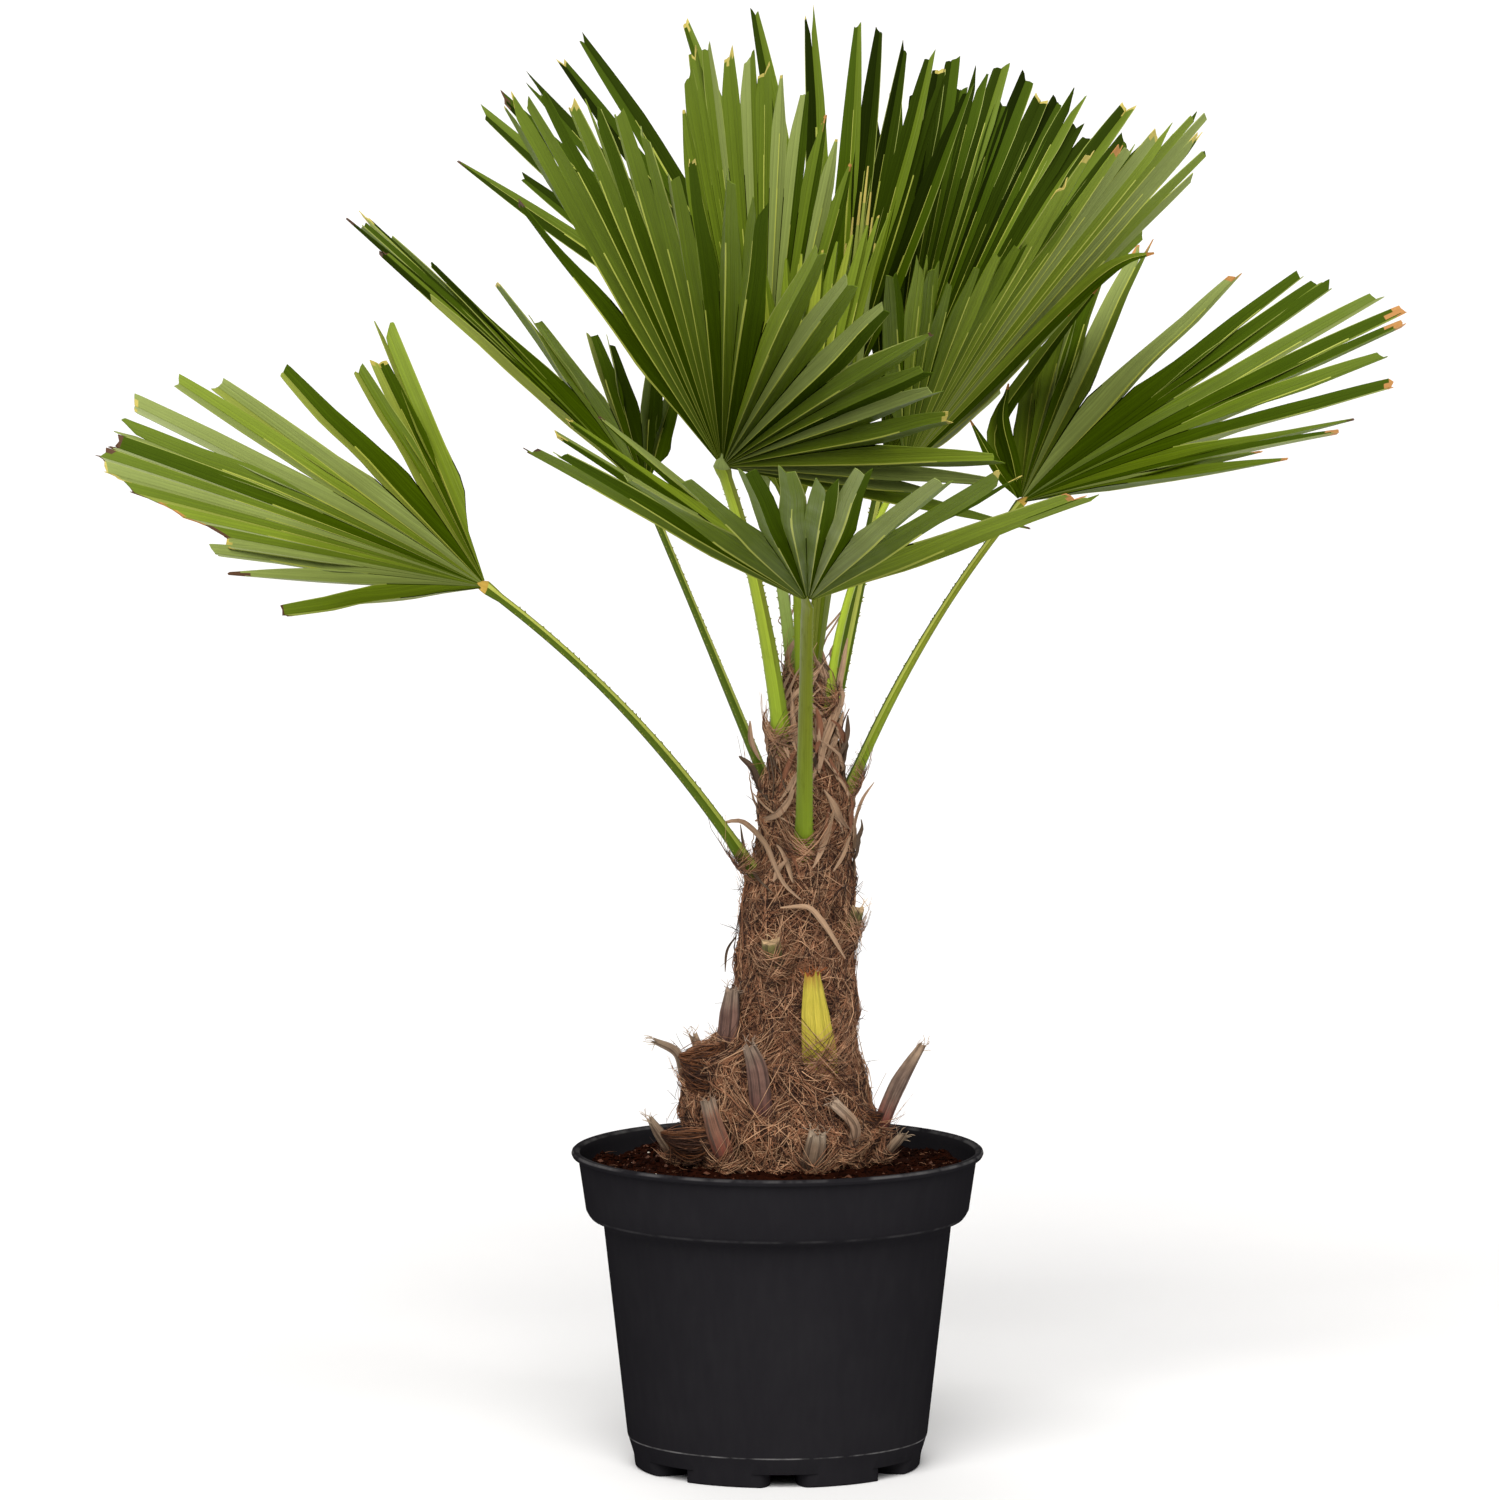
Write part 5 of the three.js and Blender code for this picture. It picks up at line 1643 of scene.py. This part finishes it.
class PALM_OT_fans(bpy.types.Operator):
    """Builds the fans: every leaflet with its fold, its rib, its edge and its withered tip"""

    bl_idname = "palm.fans"
    bl_label = "Fans"

    def execute(self, context):
        sizes = context.scene.palm_leaf
        finishes = {name: leaf_finish(name, colour(code)) for name, code in LEAF_TONES.items()}
        for number, (name, leaf) in enumerate(LEAVES.items()):
            shape = Shape(finishes)
            Fan(shape, leaf, sizes, 70 + number).grow()
            settle(shape.piece("fan_" + name, crease=60), "leaf_blade", "blade_" + name)
        self.spear(finishes)
        return {"FINISHED"}

    def spear(self, finishes):
        """The leaf that hasn't opened: narrow pleats pressed together."""
        shape = Shape(finishes)
        start, end = Vector(SPEAR_ROOT) * MM, Vector(SPEAR_TIP) * MM
        rng = Random(9)
        for pleat, aside in enumerate(range(-3, 4)):
            shift = Vector((aside * PLEAT_SHIFT, (pleat % 2 - 0.5) * PLEAT_SHIFT, 0))
            tip = mix(start, end, 1 - 0.05 * abs(aside)) + shift * 2.2
            path = bowed(start + shift * 0.5, mix(start, end, 0.5) + shift * 1.6, tip, SPEAR_STEPS)
            face = Vector((0.5 * (-1) ** pleat, -1, 0)).normalized()
            rows = []
            for number, (at, across, out) in enumerate(frames(path, face)):
                wide = 0.0026 * math.sin(math.pi * min(0.12 + number / SPEAR_STEPS * 0.86, 1)) + 0.0003
                rows.append([
                    (at + across * wide * place, wide * place, number * 0.02) for place in (1, 0, -1)])
            lift = [face * 0.0008] * len(rows)
            main = rng.choice(("fresh", "light", "bloom"))
            shape.slab(rows, lift, lambda row, column, upper, main=main: "yellow" if row > 12 else main)
        settle(shape.piece("spear_leaf", crease=60), "leaf_stalk", "spear")


# Stalks

# Distance between a stalk's teeth, and half the width of the shield under its fan
TOOTH_SPACING = 0.0075
SHIELD_HALF = 0.0062

# The finishes of each stalk's two sides, its line and the shield under its fan; a shade side is painted
# shade
STALK_LOOKS = {
    "left_low": ("stalk", "shade", "line", "shield"), "left_back": ("stalk", "shade", "line", "yellow"),
    "front_high": ("yellow", "stalk", "line", "pale"), "front_low": ("stalk", "stalk", "fresh", "stalk"),
    "right_low": ("stalk", "shade", "line", "shield"), "right_high": ("yellow", "stalk", "line", "yellow"),
    "back_centre": ("pale", "stalk", "line", "pale"), "back_right": ("shade", "shade", "line", "shade"),
    "inner": ("pale", "pale", "line", "pale"), "young": ("stalk", "pale", "line", "pale"),
}
STALK_TONES = {
    "yellow": "#9aab35", "pale": "#8c9a58", "shield": "#a98a3e", "tooth": "#8b7a40", "fresh": "#7f9a2c",
}


class PALM_OT_stalks(bpy.types.Operator):
    """Builds the leaf stalks, with their teeth, their paler line and the shield under each fan"""

    bl_idname = "palm.stalks"
    bl_label = "Leaf stalks"

    SIDES = 16

    def execute(self, context):
        tints = context.scene.palm_colours
        finishes = {
            "stalk": stalk_finish("green", tints.stalk),
            "shade": stalk_finish("shade", tints.stalk_dark, 0.1),
            "line": stalk_finish("line", tints.rib)}
        finishes.update({name: stalk_finish(name, colour(code)) for name, code in STALK_TONES.items()})
        for number, (name, leaf) in enumerate(LEAVES.items()):
            shape = Shape(finishes)
            self.stalk(shape, Random(200 + number), leaf, *STALK_LOOKS[name])
            settle(shape.piece("petiole_" + name, crease=55), "leaf_stalk", "stalk_" + name)
        return {"FINISHED"}

    def stalk(self, shape, rng, leaf, left, right, line, shield):
        """One stalk: flared at its foot, tapering, and ending in a shield under its fan."""
        path = stalk_path(leaf)
        reach = [path[-1] + ray(leaf, 50) * step for step in (0.004, 0.009, 0.014)]
        rings = []
        for number, (at, across, out) in enumerate(frames(path + reach, stalk_face(leaf))):
            along = number / STALK_STEPS
            wide = mix(leaf["stalk"][0], leaf["stalk"][1], min(along * 1.6, 1)) * MM / 2
            wide *= mix(1, STALK_FLARE, smooth((0.12 - along) / 0.12))
            swell = fade(along, 0.95, 0.05) - fade(along, 1.0, 0.06)
            wide = mix(wide, SHIELD_HALF, max(swell, 0.0)) * (1 - 0.88 * fade(along, 1.01, 0.05))
            deep = wide * mix(STALK_DEPTH, 0.5, fade(along, 0.9, 0.1))
            rings.append([self.rim(at, across, out, wide, deep, side) for side in range(self.SIDES)])

        def kind(place, side):
            if place > STALK_STEPS - 1:
                return shield
            if side in (3, 4):
                return line
            return left if 4 < side < 13 else right

        shape.loft(rings, kind)
        length = sum((b - a).length for a, b in zip(path, path[1:]))
        self.teeth(shape, rng, rings, int(length / TOOTH_SPACING))

    def rim(self, at, across, out, wide, deep, side):
        """A point of the cross-section: nearly flat above, keeled below, with a margin on each side."""
        turn = (side + 0.5) / self.SIDES * ROUND
        x, y = math.cos(turn), math.sin(turn)
        flat = 0.55 if y > 0 else 1.0
        return at + across * wide * x * (1 + 0.08 * abs(x) ** 6) + out * deep * y * flat

    def teeth(self, shape, rng, rings, teeth):
        """Small blunt teeth along both margins, which lean towards the fan."""
        for margin in (0, self.SIDES // 2 - 1):
            for number in range(teeth):
                place = int(mix(3, STALK_STEPS - 4, (number + rng.random()) / teeth))
                base, step = rings[place][margin], rings[place + 1][margin] - rings[place][margin]
                along = step.normalized()
                heart = sum(rings[place], Vector()) / self.SIDES
                outward = (base - heart).normalized()
                aside = along.cross(outward) * 0.0005
                foot = base + step * rng.random() - outward * 0.0006
                tip = foot + outward * rng.uniform(0.0012, 0.0022) + along * 0.0009
                back, front = foot - along * 0.0011, foot + along * 0.0011
                a, b, c, d = [shape.point(corner) for corner in (back, front + aside, front - aside, tip)]
                for face in ((a, b, c), (a, d, b), (b, d, c), (c, d, a)):
                    shape.face(face, "tooth")


# Studio

# Lights: where each one stands from the palm, its strength and its spread in degrees
LIGHTS = {
    "key": ((-0.12, -1.0, 0.9), 4.1, 45), "fill": ((0.9, -0.7, 0.5), 0.7, 50),
    "back": ((-0.2, 0.7, 1.2), 0.8, 40),
}
LIGHT_TINT = (1.0, 0.975, 0.93)

# The surroundings, the floor's half width and how far it lies under the pot, and how far the camera sees
SKY_TINT = (1.0, 0.985, 0.96, 1.0)
SKY_STRENGTH = 0.22
FLOOR_HALF = 60.0
FLOOR_DROP = 0.0002
VIEW_END = 60


class PALM_OT_studio(bpy.types.Operator):
    """Builds the camera, the pale floor, the soft lights and the bright surroundings"""

    bl_idname = "palm.studio"
    bl_label = "Studio"

    def execute(self, context):
        scene = context.scene
        scene.view_settings.view_transform = "Standard"
        lens = bpy.data.cameras.new("photo_camera")
        lens.lens = CAMERA_LENS
        lens.sensor_width = CAMERA_SENSOR
        lens.clip_end = VIEW_END
        camera = bpy.data.objects.new("photo_camera", lens)
        camera.location = CAMERA_PLACE
        camera.rotation_euler = (math.radians(90 - CAMERA_DIP), 0, 0)
        scene.collection.objects.link(camera)
        scene.camera = camera
        self.floor(scene)
        self.surroundings(scene)
        for name, light in LIGHTS.items():
            self.sun(scene, name, *light)
        return {"FINISHED"}

    def floor(self, scene):
        """A pale floor with a faint cloudiness."""
        finish = Finish("studio_floor", Roughness=0.9, Specular_IOR_Level=0.1)
        cloud = finish.noise(finish.place(), 3.0, 2.0)
        finish.wear(finish.blend(cloud, colour("#e9eaee"), colour("#eff0f3")))
        mesh = bpy.data.meshes.new("studio_floor")
        corners = [(-1, -1), (1, -1), (1, 1), (-1, 1)]
        mesh.from_pydata([(x * FLOOR_HALF, y * FLOOR_HALF, 0) for x, y in corners], [], [(0, 1, 2, 3)])
        mesh.materials.append(finish.material)
        floor = bpy.data.objects.new("studio_floor", mesh)
        floor.location.z = -FLOOR_DROP
        scene.collection.objects.link(floor)

    def surroundings(self, scene):
        """Even, faint light from all round."""
        world = bpy.data.worlds.new("studio")
        world.use_nodes = True
        backdrop = world.node_tree.nodes["Background"]
        backdrop.inputs["Color"].default_value = SKY_TINT
        backdrop.inputs["Strength"].default_value = SKY_STRENGTH
        scene.world = world

    def sun(self, scene, name, towards, strength, spread):
        """Parallel light from a direction, softened over an angle in degrees."""
        light = bpy.data.lights.new(name, "SUN")
        light.energy = strength
        light.angle = math.radians(spread)
        light.color = LIGHT_TINT
        lamp = bpy.data.objects.new(name, light)
        lamp.rotation_euler = (-Vector(towards)).to_track_quat("-Z", "Y").to_euler()
        scene.collection.objects.link(lamp)


OPERATORS = (
    PALM_OT_pot, PALM_OT_peat, PALM_OT_trunk, PALM_OT_fibres, PALM_OT_leaf_bases, PALM_OT_stalks,
    PALM_OT_fans, PALM_OT_studio,
)
SETTINGS = {
    "palm_pot": PotSizes, "palm_soil": SoilSizes, "palm_trunk": TrunkSizes, "palm_leaf": LeafSizes,
    "palm_colours": PalmColours,
}


class PALM_PT_panel(bpy.types.Panel):
    """Lists the palm's pieces"""

    bl_idname = "PALM_PT_panel"
    bl_label = "Windmill palm"
    bl_space_type = "VIEW_3D"
    bl_region_type = "UI"
    bl_category = "Palm"

    def draw(self, context):
        for operator in OPERATORS:
            self.layout.operator(operator.bl_idname)
        for name, group in SETTINGS.items():
            box = self.layout.box()
            box.label(text=group.__doc__)
            for field in group.__annotations__:
                box.prop(getattr(context.scene, name), field)


def register():
    """Makes the settings, the operators and the panel known to Blender."""
    for group in SETTINGS.values():
        bpy.utils.register_class(group)
    for name, group in SETTINGS.items():
        setattr(bpy.types.Scene, name, bpy.props.PointerProperty(type=group))
    for operator in OPERATORS:
        bpy.utils.register_class(operator)
    bpy.utils.register_class(PALM_PT_panel)


def unregister():
    """Takes back what register made known."""
    bpy.utils.unregister_class(PALM_PT_panel)
    for operator in reversed(OPERATORS):
        bpy.utils.unregister_class(operator)
    for name in SETTINGS:
        delattr(bpy.types.Scene, name)
    for group in SETTINGS.values():
        bpy.utils.unregister_class(group)


def main():
    """Builds the palm round its frame."""
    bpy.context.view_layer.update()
    register()
    for operator in OPERATORS:
        group, piece = operator.bl_idname.split(".")
        getattr(getattr(bpy.ops, group), piece)()
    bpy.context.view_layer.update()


if __name__ == "__main__":
    main()
